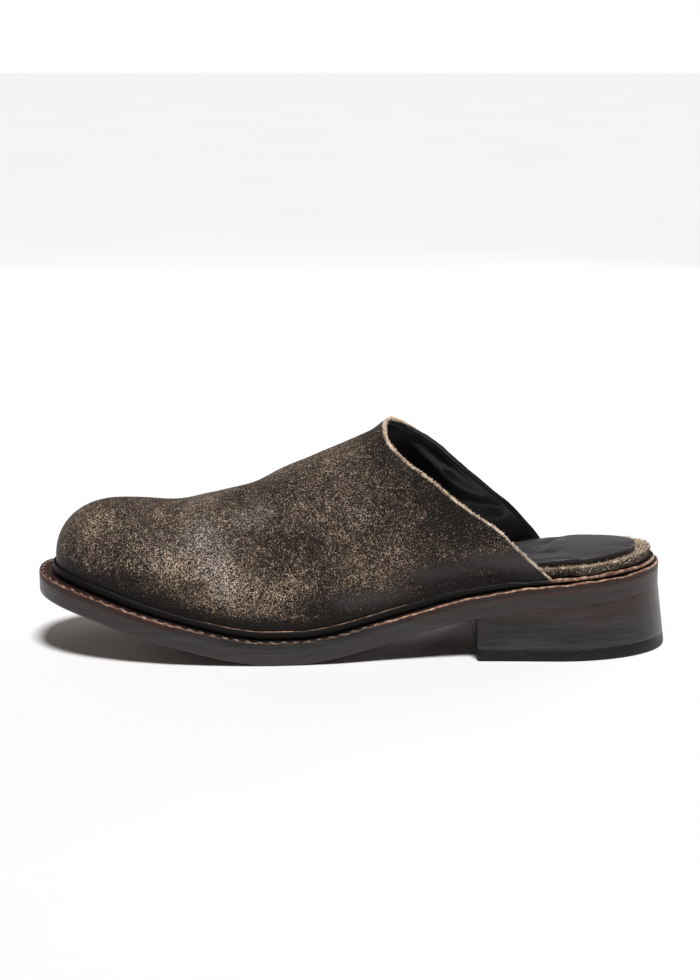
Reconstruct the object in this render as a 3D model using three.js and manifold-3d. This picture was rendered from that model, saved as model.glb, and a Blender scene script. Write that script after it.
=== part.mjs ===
// A men's backless leather mule, left shoe, standing on the floor.
// Millimetres, +Z up, toe towards -X, outer (little-toe) side towards -Y.
// Heights are measured from the floor, and stations run from the heel's back (0) to the toe (soleLength).

import * as THREE from "three";
import Module from "manifold-3d";
import { mergeVertices } from "three/addons/utils/BufferGeometryUtils.js";

const wasm = await Module();
wasm.setup();

// Driving sizes of the sole
const soleLength = 297;
const ballWidth = 101;
const waistWidth = 71;
const heelWidth = 73;
const heelRoundLength = 52;
const toeRoundLength = 84;
const toeTipShift = -1;
const heelHeight = 29.6;
const toeSpring = 26;
const outsoleThickness = 3.9;
const midsoleThickness = 3.4;
const gap = 0.3;

// Driving sizes of the heel
const heelLength = 89.5;
const heelFlare = 3.2;
const breastLean = 1.3;
const topLiftThickness = 5.5;

// Driving sizes of the welt, a split strip with a flat lower lip and an upper lip that is turned up
const weltThickness = 3;
const weltWidth = 13;
const slitHeight = 0.6;
const lipHeight = 3.6;

// Driving sizes of the insole, the sock and the upper
const insoleThickness = 4.4;
const sockThickness = 2.2;
const wall = 2.4;
const instepDepth = 87.5;
const toeDepth = 43;
const toeDomeLength = 34;
const toplineRear = 55;
const peakHeight = 108;

// Widths of the sole at stations along it, as shares of the width that each row follows
const soleSections = [
  { along: 0.0, width: heelWidth, outer: 0.5, inner: 0.49 },
  { along: 0.13, width: heelWidth, outer: 0.5, inner: 0.49 },
  { along: 0.29, width: heelWidth, outer: 0.49, inner: 0.455 },
  { along: 0.41, width: waistWidth, outer: 0.55, inner: 0.45 },
  { along: 0.52, width: ballWidth, outer: 0.44, inner: 0.38 },
  { along: 0.64, width: ballWidth, outer: 0.472, inner: 0.49 },
  { along: 0.72, width: ballWidth, outer: 0.475, inner: 0.525 },
  { along: 0.84, width: ballWidth, outer: 0.47, inner: 0.515 },
  { along: 1.0, width: ballWidth, outer: 0.465, inner: 0.49 },
];

// Height of the sole's underside, as shares of the heel's height or of the toe spring
const soleProfile = [
  { along: 0.0, height: heelHeight, share: 1 },
  { along: 0.09, height: heelHeight, share: 0.91 },
  { along: 0.19, height: heelHeight, share: 0.82 },
  { along: 0.265, height: heelHeight, share: 0.71 },
  { along: 0.34, height: heelHeight, share: 0.555 },
  { along: 0.435, height: heelHeight, share: 0.3 },
  { along: 0.485, height: heelHeight, share: 0.17 },
  { along: 0.53, height: heelHeight, share: 0.06 },
  { along: 0.58, height: heelHeight, share: 0 },
  { along: 0.63, height: toeSpring, share: 0 },
  { along: 0.67, height: toeSpring, share: 0.045 },
  { along: 0.75, height: toeSpring, share: 0.25 },
  { along: 0.83, height: toeSpring, share: 0.49 },
  { along: 0.91, height: toeSpring, share: 0.76 },
  { along: 1.0, height: toeSpring, share: 1 },
];

// How far the welt's edges lie inside the sole's edge, how far its upper lip rises above the slit,
// and how far the ledge behind that lip does, both as shares of the lip's height
const weltSections = [
  { along: 0.0, lip: 1.8, slit: 6.2, ledge: 2.8, rise: 0.5, seat: 0.36 },
  { along: 0.18, lip: 1.8, slit: 6.2, ledge: 2.8, rise: 0.5, seat: 0.36 },
  { along: 0.25, lip: 2.8, slit: 5, ledge: 4.2, rise: 0.75, seat: 0.25 },
  { along: 0.35, lip: 3.8, slit: 4.7, ledge: 5.4, rise: 1, seat: 0.12 },
  { along: 0.75, lip: 5, slit: 5.9, ledge: 6.6, rise: 1, seat: 0.12 },
  { along: 0.85, lip: 5.6, slit: 6.5, ledge: 7.2, rise: 1.15, seat: 0.12 },
  { along: 1.0, lip: 6.2, slit: 7.1, ledge: 7.8, rise: 1.2, seat: 0.12 },
];

// Crest of the upper above the welt, as shares of the depth at the instep or at the toe,
// with the fullness of the sides and how far they swell over the welt
const upperSections = [
  { along: 0.1, depth: instepDepth, share: 1.1, round: 2.4, swell: 2, shift: 2 },
  { along: 0.3, depth: instepDepth, share: 1.08, round: 2.3, swell: 3, shift: 3 },
  { along: 0.438, depth: instepDepth, share: 1, round: 2.2, swell: 4, shift: 4 },
  { along: 0.486, depth: instepDepth, share: 0.92, round: 2.15, swell: 4, shift: 4 },
  { along: 0.575, depth: instepDepth, share: 0.845, round: 2.1, swell: 3.5, shift: 5 },
  { along: 0.652, depth: instepDepth, share: 0.742, round: 2.1, swell: 3, shift: 5 },
  { along: 0.692, depth: instepDepth, share: 0.685, round: 2.1, swell: 2.5, shift: 4 },
  { along: 0.727, depth: toeDepth, share: 1.26, round: 2.15, swell: 2.5, shift: 3 },
  { along: 0.783, depth: toeDepth, share: 1.12, round: 2.2, swell: 2, shift: 2 },
  { along: 0.86, depth: toeDepth, share: 1, round: 2.3, swell: 1.5, shift: 0 },
  { along: 1.0, depth: toeDepth, share: 0.85, round: 2.3, swell: 0.5, shift: -1 },
];

// The topline in side view, with how much further back its inner side runs than its outer side,
// for each millimetre across
const topline = [
  { along: 0.11, height: 0.15, twist: 0 },
  { along: 0.173, height: 0.333, twist: 0.03 },
  { along: 0.212, height: 0.449, twist: 0.1 },
  { along: 0.25, height: 0.556, twist: 0.14 },
  { along: 0.29, height: 0.639, twist: 0.18 },
  { along: 0.334, height: 0.741, twist: 0.22 },
  { along: 0.373, height: 0.833, twist: 0.28 },
  { along: 0.404, height: 0.907, twist: 0.3 },
  { along: 0.44, height: 1, twist: 0.2 },
  { along: 0.477, height: 1.11, twist: 0.15 },
];

// A smooth curve through one column of a table that never overshoots its rows
const station = (row) => row.along * soleLength;
function curve(table, column, key = station) {
  const x = table.map(key);
  const y = table.map(column);
  const rise = x.slice(1).map((right, i) => (y[i + 1] - y[i]) / (right - x[i]));
  const slope = x.map((_, i) => {
    if (i === 0) return rise[0];
    if (i === x.length - 1) return rise[i - 1];
    if (rise[i - 1] * rise[i] <= 0) return 0;
    return (2 * rise[i - 1] * rise[i]) / (rise[i - 1] + rise[i]);
  });
  return (at) => {
    if (at <= x[0]) return y[0];
    if (at >= x[x.length - 1]) return y[y.length - 1];
    const i = x.findIndex((right, k) => k > 0 && at <= right) - 1;
    const span = x[i + 1] - x[i];
    const t = (at - x[i]) / span;
    const ease = 3 * t ** 2 - 2 * t ** 3;
    const leave = (t ** 3 - 2 * t ** 2 + t) * span * slope[i];
    const arrive = (t ** 3 - t ** 2) * span * slope[i + 1];
    return y[i] + (y[i + 1] - y[i]) * ease + leave + arrive;
  };
}

const outerHalf = curve(soleSections, (row) => row.width * row.outer);
const innerHalf = curve(soleSections, (row) => row.width * row.inner);
const underside = curve(soleProfile, (row) => row.height * row.share);
const lipInset = curve(weltSections, (row) => row.lip);
const slitInset = curve(weltSections, (row) => row.slit);
const ledgeInset = curve(weltSections, (row) => row.ledge);
const lipRise = curve(weltSections, (row) => row.rise * lipHeight);
const seatRise = curve(weltSections, (row) => row.seat * lipHeight);
const crestDepth = curve(upperSections, (row) => row.depth * row.share);
const sideRound = curve(upperSections, (row) => row.round);
const sideSwell = curve(upperSections, (row) => row.swell);
const crestShift = curve(upperSections, (row) => row.shift);
const rowHeight = (row) => row.height * peakHeight;
const toplineHeight = curve(topline, rowHeight);
const toplineTwist = curve(topline, (row) => row.twist, rowHeight);

// Heights above the sole's underside
const midsoleBase = outsoleThickness + gap;
const weltBase = midsoleBase + midsoleThickness + gap;
const lowerLipTop = weltBase + weltThickness;
const upperLipBase = lowerLipTop + slitHeight;
const upperLipTop = (s) => upperLipBase + lipRise(s);
const ledgeTop = (s) => upperLipBase + seatRise(s);
const insoleTop = (s) => ledgeTop(s) + gap + insoleThickness;
const sockTop = (s) => insoleTop(s) + gap + sockThickness;

// Insets of the pieces that stand inside the welt
const upperInset = (s) => ledgeInset(s) + gap;
const insoleSections = [
  { along: 0.0, extra: 4 },
  { along: 0.08, extra: 0.4 },
  { along: (toplineRear - 18) / soleLength, extra: 0 },
  { along: (toplineRear - 8) / soleLength, extra: wall + gap },
  { along: 1.0, extra: wall + gap },
];
const insoleExtra = curve(insoleSections, (row) => row.extra);
const insoleInset = (s) => upperInset(s) + insoleExtra(s);
const sockSections = [
  { along: 0.0, extra: 6.5 },
  { along: 0.3, extra: 6 },
  { along: 0.5, extra: 1 },
  { along: 1.0, extra: 1 },
];
const sockExtra = curve(sockSections, (row) => row.extra);
const sockInset = (s) => insoleInset(s) + sockExtra(s);
const bossInset = () => weltWidth + gap;

// Share of the full width that is left near a rounded end, for a distance from that end
function endRound(distance, length, power) {
  const left = 1 - Math.min(1, Math.max(0, distance) / length);
  return (1 - left ** power) ** (1 / power);
}

// The outer and inner edges at one station, inset from the sole's edge
function edges(s, inset) {
  const heelEnd = inset(0);
  const toeEnd = soleLength - inset(soleLength);
  const round =
    endRound(s - heelEnd, heelRoundLength - heelEnd, 2.05) *
    endRound(toeEnd - s, toeRoundLength - inset(soleLength), 2.3);
  const toeward = Math.max(0, s / soleLength - 0.6) / 0.4;
  const axis = toeTipShift * toeward ** 2;
  const by = inset(s);
  return [axis - (outerHalf(s) + axis - by) * round, axis + (innerHalf(s) - axis - by) * round];
}

const place = (s, across, z) => [soleLength / 2 - s, across, z];
const flush = () => 0;
const level = (height) => () => height;

// Stations from one end to the other that crowd towards both
function crowded(from, to, count) {
  const share = (i) => (1 - Math.cos((Math.PI * i) / count)) / 2;
  return Array.from({ length: count + 1 }, (_, i) => from + (to - from) * share(i));
}

// A geometry from corner triples, without the empty ones where both edges meet at an end
const apart = (a, b) => Math.hypot(a[0] - b[0], a[1] - b[1], a[2] - b[2]) > 1e-3;
function asGeometry(triangles) {
  const whole = triangles.filter(([a, b, c]) => apart(a, b) && apart(b, c) && apart(c, a));
  const flat = new Float32Array(whole.flat(2));
  return new THREE.BufferGeometry().setAttribute("position", new THREE.BufferAttribute(flat, 3));
}

// Two triangles for the quad a, b, c, d
const quad = (a, b, c, d) => [
  [a, b, c],
  [a, c, d],
];

function solidOf(geometry) {
  geometry.deleteAttribute("normal");
  geometry.deleteAttribute("uv");
  const merged = mergeVertices(geometry, 1e-4);
  return new wasm.Manifold(
    new wasm.Mesh({
      numProp: 3,
      vertProperties: merged.attributes.position.array,
      triVerts: new Uint32Array(merged.index.array),
    }),
  );
}

function geometryOf(solid) {
  const mesh = solid.getMesh();
  return new THREE.BufferGeometry()
    .setAttribute("position", new THREE.BufferAttribute(mesh.vertProperties, 3))
    .setIndex(new THREE.BufferAttribute(mesh.triVerts, 1));
}

// A tall block with the sole's outline, inset by an amount that may change along the sole
const outlineCount = 40;
function column(inset) {
  const stations = crowded(inset(0), soleLength - inset(soleLength), outlineCount);
  const outer = stations.map((s) => new THREE.Vector2(soleLength / 2 - s, edges(s, inset)[0]));
  const inner = stations.map((s) => new THREE.Vector2(soleLength / 2 - s, edges(s, inset)[1]));
  const outline = new THREE.Shape([...outer, ...inner.slice(1, -1).reverse()]);
  const height = 4 * heelHeight;
  const block = new THREE.ExtrudeGeometry(outline, { depth: height, bevelEnabled: false });
  return solidOf(block.translate(0, 0, -height / 4));
}

// A side view that is pushed through the whole width of the shoe, and may be twisted across it
function acrossTheShoe(points, twist = level(0), steps = 1) {
  const deep = 2 * ballWidth;
  const side = new THREE.Shape(points.map(([s, z]) => new THREE.Vector2(soleLength / 2 - s, z)));
  const block = new THREE.ExtrudeGeometry(side, { depth: deep, steps, bevelEnabled: false });
  block.rotateX(Math.PI / 2).translate(0, deep / 2, 0);
  const { position } = block.attributes;
  for (let i = 0; i < position.count; i++) {
    position.setX(i, position.getX(i) + twist(position.getZ(i)) * position.getY(i));
  }
  return solidOf(block);
}

// The space between two heights above the sole's underside
const profileStep = 7.5;
function between(from, to) {
  const stations = Array.from({ length: soleLength / profileStep + 3 }, (_, i) => (i - 1) * profileStep);
  const low = stations.map((s) => [s, underside(s) + from(s)]);
  const high = stations.map((s) => [s, underside(s) + to(s)]);
  return acrossTheShoe([...low, ...high.reverse()]);
}

// One flat layer of the shoe: the sole's outline, inset, between two heights
const layer = (inset, from, to) => column(inset).intersect(between(from, to));

const outsole = () => layer(flush, level(0), level(outsoleThickness));
const midsole = () => layer(flush, level(midsoleBase), level(midsoleBase + midsoleThickness));

// The welt's two lips round a slit, with the ledge that the upper stands on
function welt() {
  const overLips = level(upperLipBase + 3 * lipHeight);
  const block = layer(flush, level(weltBase), upperLipTop);
  const outside = (inset) => column(level(-5)).subtract(column(inset));
  const aboveLowerLip = outside(lipInset).intersect(between(level(lowerLipTop), overLips));
  const slit = outside(slitInset).intersect(between(level(lowerLipTop), level(upperLipBase)));
  const ledge = layer(ledgeInset, ledgeTop, overLips);
  const hole = column(level(weltWidth));
  return block.subtract(aboveLowerLip).subtract(slit).subtract(ledge).subtract(hole);
}

// The insole rests on the welt, and its underside fills the space inside the welt
function insole() {
  const filler = layer(level(weltWidth + gap), level(weltBase), (s) => insoleTop(s) - 1);
  return filler.add(layer(insoleInset, (s) => ledgeTop(s) + gap, insoleTop));
}

const sock = () => layer(sockInset, (s) => insoleTop(s) + gap, sockTop);

// The heel's block, wider at its foot, cut off straight at the breast
const heelRingCount = 18;
function heelRing(flare, z) {
  const stations = crowded(-flare, 2 * heelLength, 2 * heelRingCount).filter((s) => s < 2 * heelLength - 1);
  const outer = stations.map((s) => place(s, edges(s, level(-flare))[0], z));
  const inner = stations.map((s) => place(s, edges(s, level(-flare))[1], z));
  return [...outer, ...inner.slice(1).reverse()];
}

function heelBlock() {
  const low = heelRing(heelFlare, 0);
  const high = heelRing(heelFlare - heelFlare * 1.5, 1.5 * heelHeight);
  const centre = (ring) => [ring[0][0] - heelLength, 0, ring[0][2]];
  const walls = low.flatMap((point, i) => {
    const next = (i + 1) % low.length;
    return [
      ...quad(low[next], point, high[i], high[next]),
      [point, low[next], centre(low)],
      [high[next], high[i], centre(high)],
    ];
  });
  const tall = 1.5 * heelHeight;
  const breast = acrossTheShoe([
    [-20, -1],
    [heelLength - breastLean, -1],
    [heelLength + 0.5 * breastLean, tall + 1],
    [-20, tall + 1],
  ]);
  return solidOf(asGeometry(walls)).intersect(breast);
}

// The space between two heights above the floor, under the back part of the shoe
function storey(from, to) {
  return acrossTheShoe([
    [-20, from],
    [1.2 * heelLength, from],
    [1.2 * heelLength, to],
    [-20, to],
  ]);
}

const topLift = () => heelBlock().intersect(storey(0, topLiftThickness));
const underOutsole = () => between(level(-2 * heelHeight), level(-gap));
const overTopLift = () => storey(topLiftThickness + gap, heelHeight);
const heelStack = () => heelBlock().intersect(overTopLift()).intersect(underOutsole());

// One point of the upper's form: a column rises from the welt's ledge and bends over to the crest.
// Towards the toe the columns fan round the dome of the toe box.
const formRear = toplineRear - 12;
const fanStart = 0.7 * soleLength;
function formPoint(side, t, bend, shrink) {
  const inset = (s) => upperInset(s) + shrink;
  const tip = soleLength - inset(soleLength);
  const s = formRear + (tip - formRear) * Math.sin((Math.PI / 2) * t);
  const foot = edges(s, inset)[side];
  const fan = Math.max(0, s - fanStart) / (tip - fanStart);
  const crestAt = s - (toeDomeLength - shrink) * fan ** 2;
  const crest = crestShift(crestAt);
  const low = underside(s) + upperLipTop(s);
  const high = underside(crestAt) + upperLipBase + crestDepth(crestAt) - shrink;
  const power = 2 / sideRound(s);
  const out = Math.max(0, Math.cos(bend)) ** power;
  const up = Math.sin(bend) ** power;
  const radius = Math.hypot(s - crestAt, foot - crest);
  const swell = (sideSwell(s) * Math.sin(2 * bend) * Math.cos(bend)) / radius;
  const reach = out + swell;
  return place(crestAt + (s - crestAt) * reach, crest + (foot - crest) * reach, low + (high - low) * up);
}

// A closed solid of the upper's form, from its rear cut to the toe
const columnCount = 26;
const rowCount = 13;
function form(shrink) {
  const drop = 4 * lipHeight + shrink;
  const steps = Array.from({ length: columnCount + 1 }, (_, i) => i / columnCount);
  const columns = [...steps.map((t) => [0, t]), ...steps.slice(0, -1).reverse().map((t) => [1, t])];
  const grid = columns.map(([side, t]) => {
    const bends = Array.from({ length: rowCount + 1 }, (_, r) => ((Math.PI / 2) * r) / rowCount);
    const points = bends.map((bend) => formPoint(side, t, bend, shrink));
    const [x, y, z] = points[0];
    return [[x, y, z - drop], ...points];
  });
  const made = [];
  const last = grid.length - 1;
  const rows = grid[0].length - 1;
  for (let c = 0; c < last; c++) {
    for (let r = 0; r < rows; r++) {
      made.push(...quad(grid[c][r], grid[c][r + 1], grid[c + 1][r + 1], grid[c + 1][r]));
    }
  }
  for (let c = 0; c < columnCount; c++) {
    made.push(...quad(grid[c][0], grid[c + 1][0], grid[last - c - 1][0], grid[last - c][0]));
  }
  for (let r = 0; r < rows; r++) {
    made.push(...quad(grid[0][r], grid[last][r], grid[last][r + 1], grid[0][r + 1]));
  }
  return solidOf(asGeometry(made));
}

// What the topline cuts away: all that lies above and behind it, twisted across the shoe
function toplineCutter() {
  const first = topline[0].along * soleLength;
  const last = topline[topline.length - 1].along * soleLength;
  const stations = Array.from({ length: 21 }, (_, i) => first + ((last - first) * i) / 20);
  const line = stations.map((s) => [s, toplineHeight(s)]);
  const behind = [
    [last, 2 * peakHeight],
    [-2 * heelLength, 2 * peakHeight],
    [-2 * heelLength, toplineHeight(first)],
  ];
  return acrossTheShoe([...line, ...behind], toplineTwist, 24);
}

function upper() {
  const underFoot = between(level(-50), (s) => ledgeTop(s) + gap);
  const besideLip = between(level(-50), (s) => upperLipTop(s) + gap).subtract(column(upperInset));
  const shell = form(0).subtract(form(wall)).subtract(toplineCutter());
  return shell.subtract(underFoot).subtract(besideLip);
}

const finishes = {
  crackedLeather: { color: 0x54483c, roughness: 0.75, metalness: 0 },
  blackLeather: { color: 0x1b1b1d, roughness: 0.45, metalness: 0 },
  rawLeather: { color: 0x84705a, roughness: 0.95, metalness: 0 },
  weltLeather: { color: 0x5a3d2c, roughness: 0.6, metalness: 0 },
  paintedEdge: { color: 0x2b2a29, roughness: 0.45, metalness: 0 },
  rubber: { color: 0x211f20, roughness: 0.7, metalness: 0 },
};

const pieces = [
  ["outsole", outsole, "paintedEdge"],
  ["midsole", midsole, "paintedEdge"],
  ["welt", welt, "weltLeather"],
  ["insole", insole, "rawLeather"],
  ["sock", sock, "blackLeather"],
  ["heel_stack", heelStack, "paintedEdge"],
  ["top_lift", topLift, "rubber"],
  ["upper", upper, "crackedLeather"],
];

// The model stands with the middle of its footprint on the origin
const solids = pieces.map(([name, build, finish]) => ({ name, solid: build(), finish }));
const boxes = solids.map(({ solid }) => solid.boundingBox());
const middle = (axis) => {
  const low = Math.min(...boxes.map(({ min }) => min[axis]));
  const high = Math.max(...boxes.map(({ max }) => max[axis]));
  return (low + high) / 2;
};

const mule = new THREE.Group();
for (const { name, solid, finish } of solids) {
  const centred = solid.translate(-middle(0), -middle(1), 0);
  const mesh = new THREE.Mesh(geometryOf(centred), new THREE.MeshStandardMaterial(finishes[finish]));
  mesh.name = name;
  mule.add(mesh);
}

export default mule;
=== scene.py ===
# Builds the looks of a men's backless leather mule (left shoe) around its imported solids.
# The vamp, lining, sock, insole, welt, sole and heel are shaped here from the shoe's own sizes.
# Sizes are millimetres in the shoe's frame and turn into metres when a mesh is made:
# +Z up, toe towards -X, outer (little-toe) side towards -Y.
# A station is the distance from the heel's back, measured towards the toe.
import functools
import math

import bmesh
import bpy
import numpy as np
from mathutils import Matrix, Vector


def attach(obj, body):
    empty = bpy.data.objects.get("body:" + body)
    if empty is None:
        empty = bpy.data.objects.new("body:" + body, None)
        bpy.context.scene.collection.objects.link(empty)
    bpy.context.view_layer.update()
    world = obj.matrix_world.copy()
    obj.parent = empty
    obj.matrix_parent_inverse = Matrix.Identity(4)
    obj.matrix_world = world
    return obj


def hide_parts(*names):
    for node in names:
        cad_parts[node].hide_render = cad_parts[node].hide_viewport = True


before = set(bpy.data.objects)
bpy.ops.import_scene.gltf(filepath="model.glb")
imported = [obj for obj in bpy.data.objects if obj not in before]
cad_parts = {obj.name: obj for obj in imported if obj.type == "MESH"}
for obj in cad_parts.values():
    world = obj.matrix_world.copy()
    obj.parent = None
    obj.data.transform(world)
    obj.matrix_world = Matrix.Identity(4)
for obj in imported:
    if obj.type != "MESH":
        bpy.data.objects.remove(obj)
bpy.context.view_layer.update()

bl_info = {
    "name": "Leather mule",
    "version": (1, 0, 0),
    "blender": (4, 5, 0),
    "location": "View3D > Sidebar > Mule",
    "description": "Builds a backless leather mule from its sizes, piece by piece",
    "category": "Object",
}

# Sizes that the solids have too, in millimetres
SOLE_LENGTH = 297
BALL_WIDTH = 101
WAIST_WIDTH = 71
HEEL_WIDTH = 73
HEEL_ROUND = 52
TOE_ROUND = 84
TOE_TIP_SHIFT = -1
HEEL_HEIGHT = 29.6
TOE_SPRING = 26
OUTSOLE = 3.9
MIDSOLE = 3.4
GAP = 0.3
HEEL_LENGTH = 89.5
HEEL_FLARE = 3.2
BREAST_LEAN = 1.3
TOP_LIFT = 5.5
WELT = 3.0
WELT_WIDTH = 13
SLIT = 0.6
LIP = 3.6
INSOLE = 4.4
SOCK = 2.2
WALL = 2.4
INSTEP_DEPTH = 87.5
TOE_DEPTH = 43
TOE_DOME = 34
TOPLINE_REAR = 55
PEAK_HEIGHT = 108

# The middle of the footprint lies on the origin, so the last's own axis is a little beside it
SHIFT_X = -1.6
SHIFT_Y = -2.52

# Millimetres turn into metres by MM, and metres into millimetres by METRE
MM = 0.001
METRE = 1000

# On the hidden faces of the sole's layers, the last ring lies this far in from the sole's edge
HIDDEN_INSET = 4.0


# Curves that give each size along the shoe
def curve(xs, ys):
    """A smooth curve through given points that never overshoots them."""
    xs, ys = np.array(xs, float), np.array(ys, float)
    rise = np.diff(ys) / np.diff(xs)
    slope = np.zeros_like(ys)
    slope[0], slope[-1] = rise[0], rise[-1]
    for i in range(1, len(xs) - 1):
        if rise[i - 1] * rise[i] > 0:
            slope[i] = 2 * rise[i - 1] * rise[i] / (rise[i - 1] + rise[i])

    def at(x):
        x = np.clip(x, xs[0], xs[-1])
        i = np.clip(np.searchsorted(xs, x) - 1, 0, len(xs) - 2)
        span = xs[i + 1] - xs[i]
        t = (x - xs[i]) / span
        ease = 3 * t**2 - 2 * t**3
        leave = (t**3 - 2 * t**2 + t) * span * slope[i]
        arrive = (t**3 - t**2) * span * slope[i + 1]
        return ys[i] + (ys[i + 1] - ys[i]) * ease + leave + arrive

    return at


def along(rows):
    """One curve per column of rows that start with a share of the sole's length."""
    stations = [row[0] * SOLE_LENGTH for row in rows]
    return [curve(stations, [row[c] for row in rows]) for c in range(1, len(rows[0]))]


outer_half, inner_half = along([
    (0.0, HEEL_WIDTH * 0.5, HEEL_WIDTH * 0.49),
    (0.13, HEEL_WIDTH * 0.5, HEEL_WIDTH * 0.49),
    (0.29, HEEL_WIDTH * 0.49, HEEL_WIDTH * 0.455),
    (0.41, WAIST_WIDTH * 0.55, WAIST_WIDTH * 0.45),
    (0.52, BALL_WIDTH * 0.44, BALL_WIDTH * 0.38),
    (0.64, BALL_WIDTH * 0.472, BALL_WIDTH * 0.49),
    (0.72, BALL_WIDTH * 0.475, BALL_WIDTH * 0.525),
    (0.84, BALL_WIDTH * 0.47, BALL_WIDTH * 0.515),
    (1.0, BALL_WIDTH * 0.465, BALL_WIDTH * 0.49),
])

(underside,) = along(
    [(a, h * HEEL_HEIGHT) for a, h in (
        (0, 1), (0.09, 0.91), (0.19, 0.82), (0.265, 0.71), (0.34, 0.555),
        (0.435, 0.3), (0.485, 0.17), (0.53, 0.06), (0.58, 0),
    )]
    + [(a, h * TOE_SPRING) for a, h in (
        (0.63, 0), (0.67, 0.045), (0.75, 0.25), (0.83, 0.49), (0.91, 0.76), (1, 1),
    )]
)

# Insets of the welt's upper lip, its slit and its ledge, and how far that lip and the ledge rise
lip_inset, slit_inset, ledge_inset, lip_rise, seat_rise = along([
    (0.0, 1.8, 6.2, 2.8, 0.5 * LIP, 0.36 * LIP),
    (0.18, 1.8, 6.2, 2.8, 0.5 * LIP, 0.36 * LIP),
    (0.25, 2.8, 5.0, 4.2, 0.75 * LIP, 0.25 * LIP),
    (0.35, 3.8, 4.7, 5.4, LIP, 0.12 * LIP),
    (0.75, 5.0, 5.9, 6.6, LIP, 0.12 * LIP),
    (0.85, 5.6, 6.5, 7.2, 1.15 * LIP, 0.12 * LIP),
    (1.0, 6.2, 7.1, 7.8, 1.2 * LIP, 0.12 * LIP),
])

# Depth of the last above the welt, roundness and swell of its sides, and its crest's shift inwards
crest_depth, side_round, side_swell, crest_shift = along([
    (0.1, INSTEP_DEPTH * 1.1, 2.4, 2.0, 2),
    (0.3, INSTEP_DEPTH * 1.08, 2.3, 3.0, 3),
    (0.438, INSTEP_DEPTH, 2.2, 4.0, 4),
    (0.465, INSTEP_DEPTH * 0.958, 2.17, 4.0, 4),
    (0.486, INSTEP_DEPTH * 0.943, 2.15, 4.0, 4),
    (0.525, INSTEP_DEPTH * 0.917, 2.12, 3.8, 4.5),
    (0.575, INSTEP_DEPTH * 0.865, 2.1, 3.5, 5),
    (0.652, INSTEP_DEPTH * 0.742, 2.1, 3.0, 5),
    (0.692, INSTEP_DEPTH * 0.685, 2.1, 2.5, 4),
    (0.727, TOE_DEPTH * 1.26, 2.15, 2.5, 3),
    (0.783, TOE_DEPTH * 1.12, 2.2, 2.0, 2),
    (0.86, TOE_DEPTH, 2.3, 1.5, 0),
    (1.0, TOE_DEPTH * 0.85, 2.3, 0.5, -1),
])

# The topline in side view, and how much further back it runs on the inner side
TOPLINE = [
    (0.11, 0.15, 0.0), (0.173, 0.333, 0.03), (0.212, 0.449, 0.1), (0.25, 0.556, 0.14),
    (0.29, 0.639, 0.18), (0.334, 0.741, 0.22), (0.373, 0.833, 0.28), (0.404, 0.907, 0.3),
    (0.44, 1.0, 0.2), (0.477, 1.11, 0.15),
]
topline_height = curve([r[0] * SOLE_LENGTH for r in TOPLINE], [r[1] * PEAK_HEIGHT for r in TOPLINE])
topline_twist = curve([r[1] * PEAK_HEIGHT for r in TOPLINE], [r[2] for r in TOPLINE])

# Heights above the sole's underside
MIDSOLE_BASE = OUTSOLE + GAP
WELT_BASE = MIDSOLE_BASE + MIDSOLE + GAP
LOWER_LIP_TOP = WELT_BASE + WELT
UPPER_LIP_BASE = LOWER_LIP_TOP + SLIT


def upper_lip_top(s):
    return UPPER_LIP_BASE + lip_rise(s)


def ledge_top(s):
    return UPPER_LIP_BASE + seat_rise(s)


def insole_top(s):
    return ledge_top(s) + GAP + INSOLE


def upper_inset(s):
    return ledge_inset(s) + GAP


insole_extra = curve(
    [0, 0.08 * SOLE_LENGTH, TOPLINE_REAR - 18, TOPLINE_REAR - 8, SOLE_LENGTH],
    [1.6, 0.4, 0, WALL + GAP, WALL + GAP],
)
(sock_extra,) = along([(0, 6.5), (0.3, 6), (0.5, 1), (1, 1)])


def insole_inset(s):
    return upper_inset(s) + insole_extra(s)


def sock_inset(s):
    return insole_inset(s) + sock_extra(s)


def end_round(distance, length, power):
    left = 1 - np.clip(distance / length, 0, 1)
    return (1 - left**power) ** (1 / power)


def edges(s, inset):
    """The outer and inner edges of the sole at a station, inset from its own edge."""
    heel_end, toe_inset = inset(0.0), inset(float(SOLE_LENGTH))
    toe_end = SOLE_LENGTH - toe_inset
    rounded = end_round(s - heel_end, HEEL_ROUND - heel_end, 2.05)
    rounded = rounded * end_round(toe_end - s, TOE_ROUND - toe_inset, 2.3)
    axis = TOE_TIP_SHIFT * (np.maximum(0, s / SOLE_LENGTH - 0.6) / 0.4) ** 2
    by = inset(s)
    outer = axis - (outer_half(s) + axis - by) * rounded
    inner = axis + (inner_half(s) - axis - by) * rounded
    return outer, inner


def point(s, across, z):
    """Points of the shoe's frame from stations, distances across and heights."""
    s, across, z = np.broadcast_arrays(s, across, z)
    return np.stack([SOLE_LENGTH / 2 - s + SHIFT_X, across + SHIFT_Y, z], axis=-1).astype(float)


def in_frame(places):
    """Points of the shoe's frame from rows of station, distance across and height."""
    return point(places[:, 0], places[:, 1], places[:, 2])


def station_of(x):
    return SOLE_LENGTH / 2 - (x - SHIFT_X)


def unit(vectors):
    return vectors / np.linalg.norm(vectors, axis=-1, keepdims=True)


def smooth(value, low, high):
    """Rises gently from 0 at low to 1 at high."""
    t = np.clip((value - low) / (high - low), 0, 1)
    return t * t * (3 - 2 * t)


def waves(x, parts):
    """A gentle uneven line from a few given waves: (length, height, start)."""
    return sum(high * np.sin(2 * np.pi * x / long + start) for long, high, start in parts)


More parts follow.
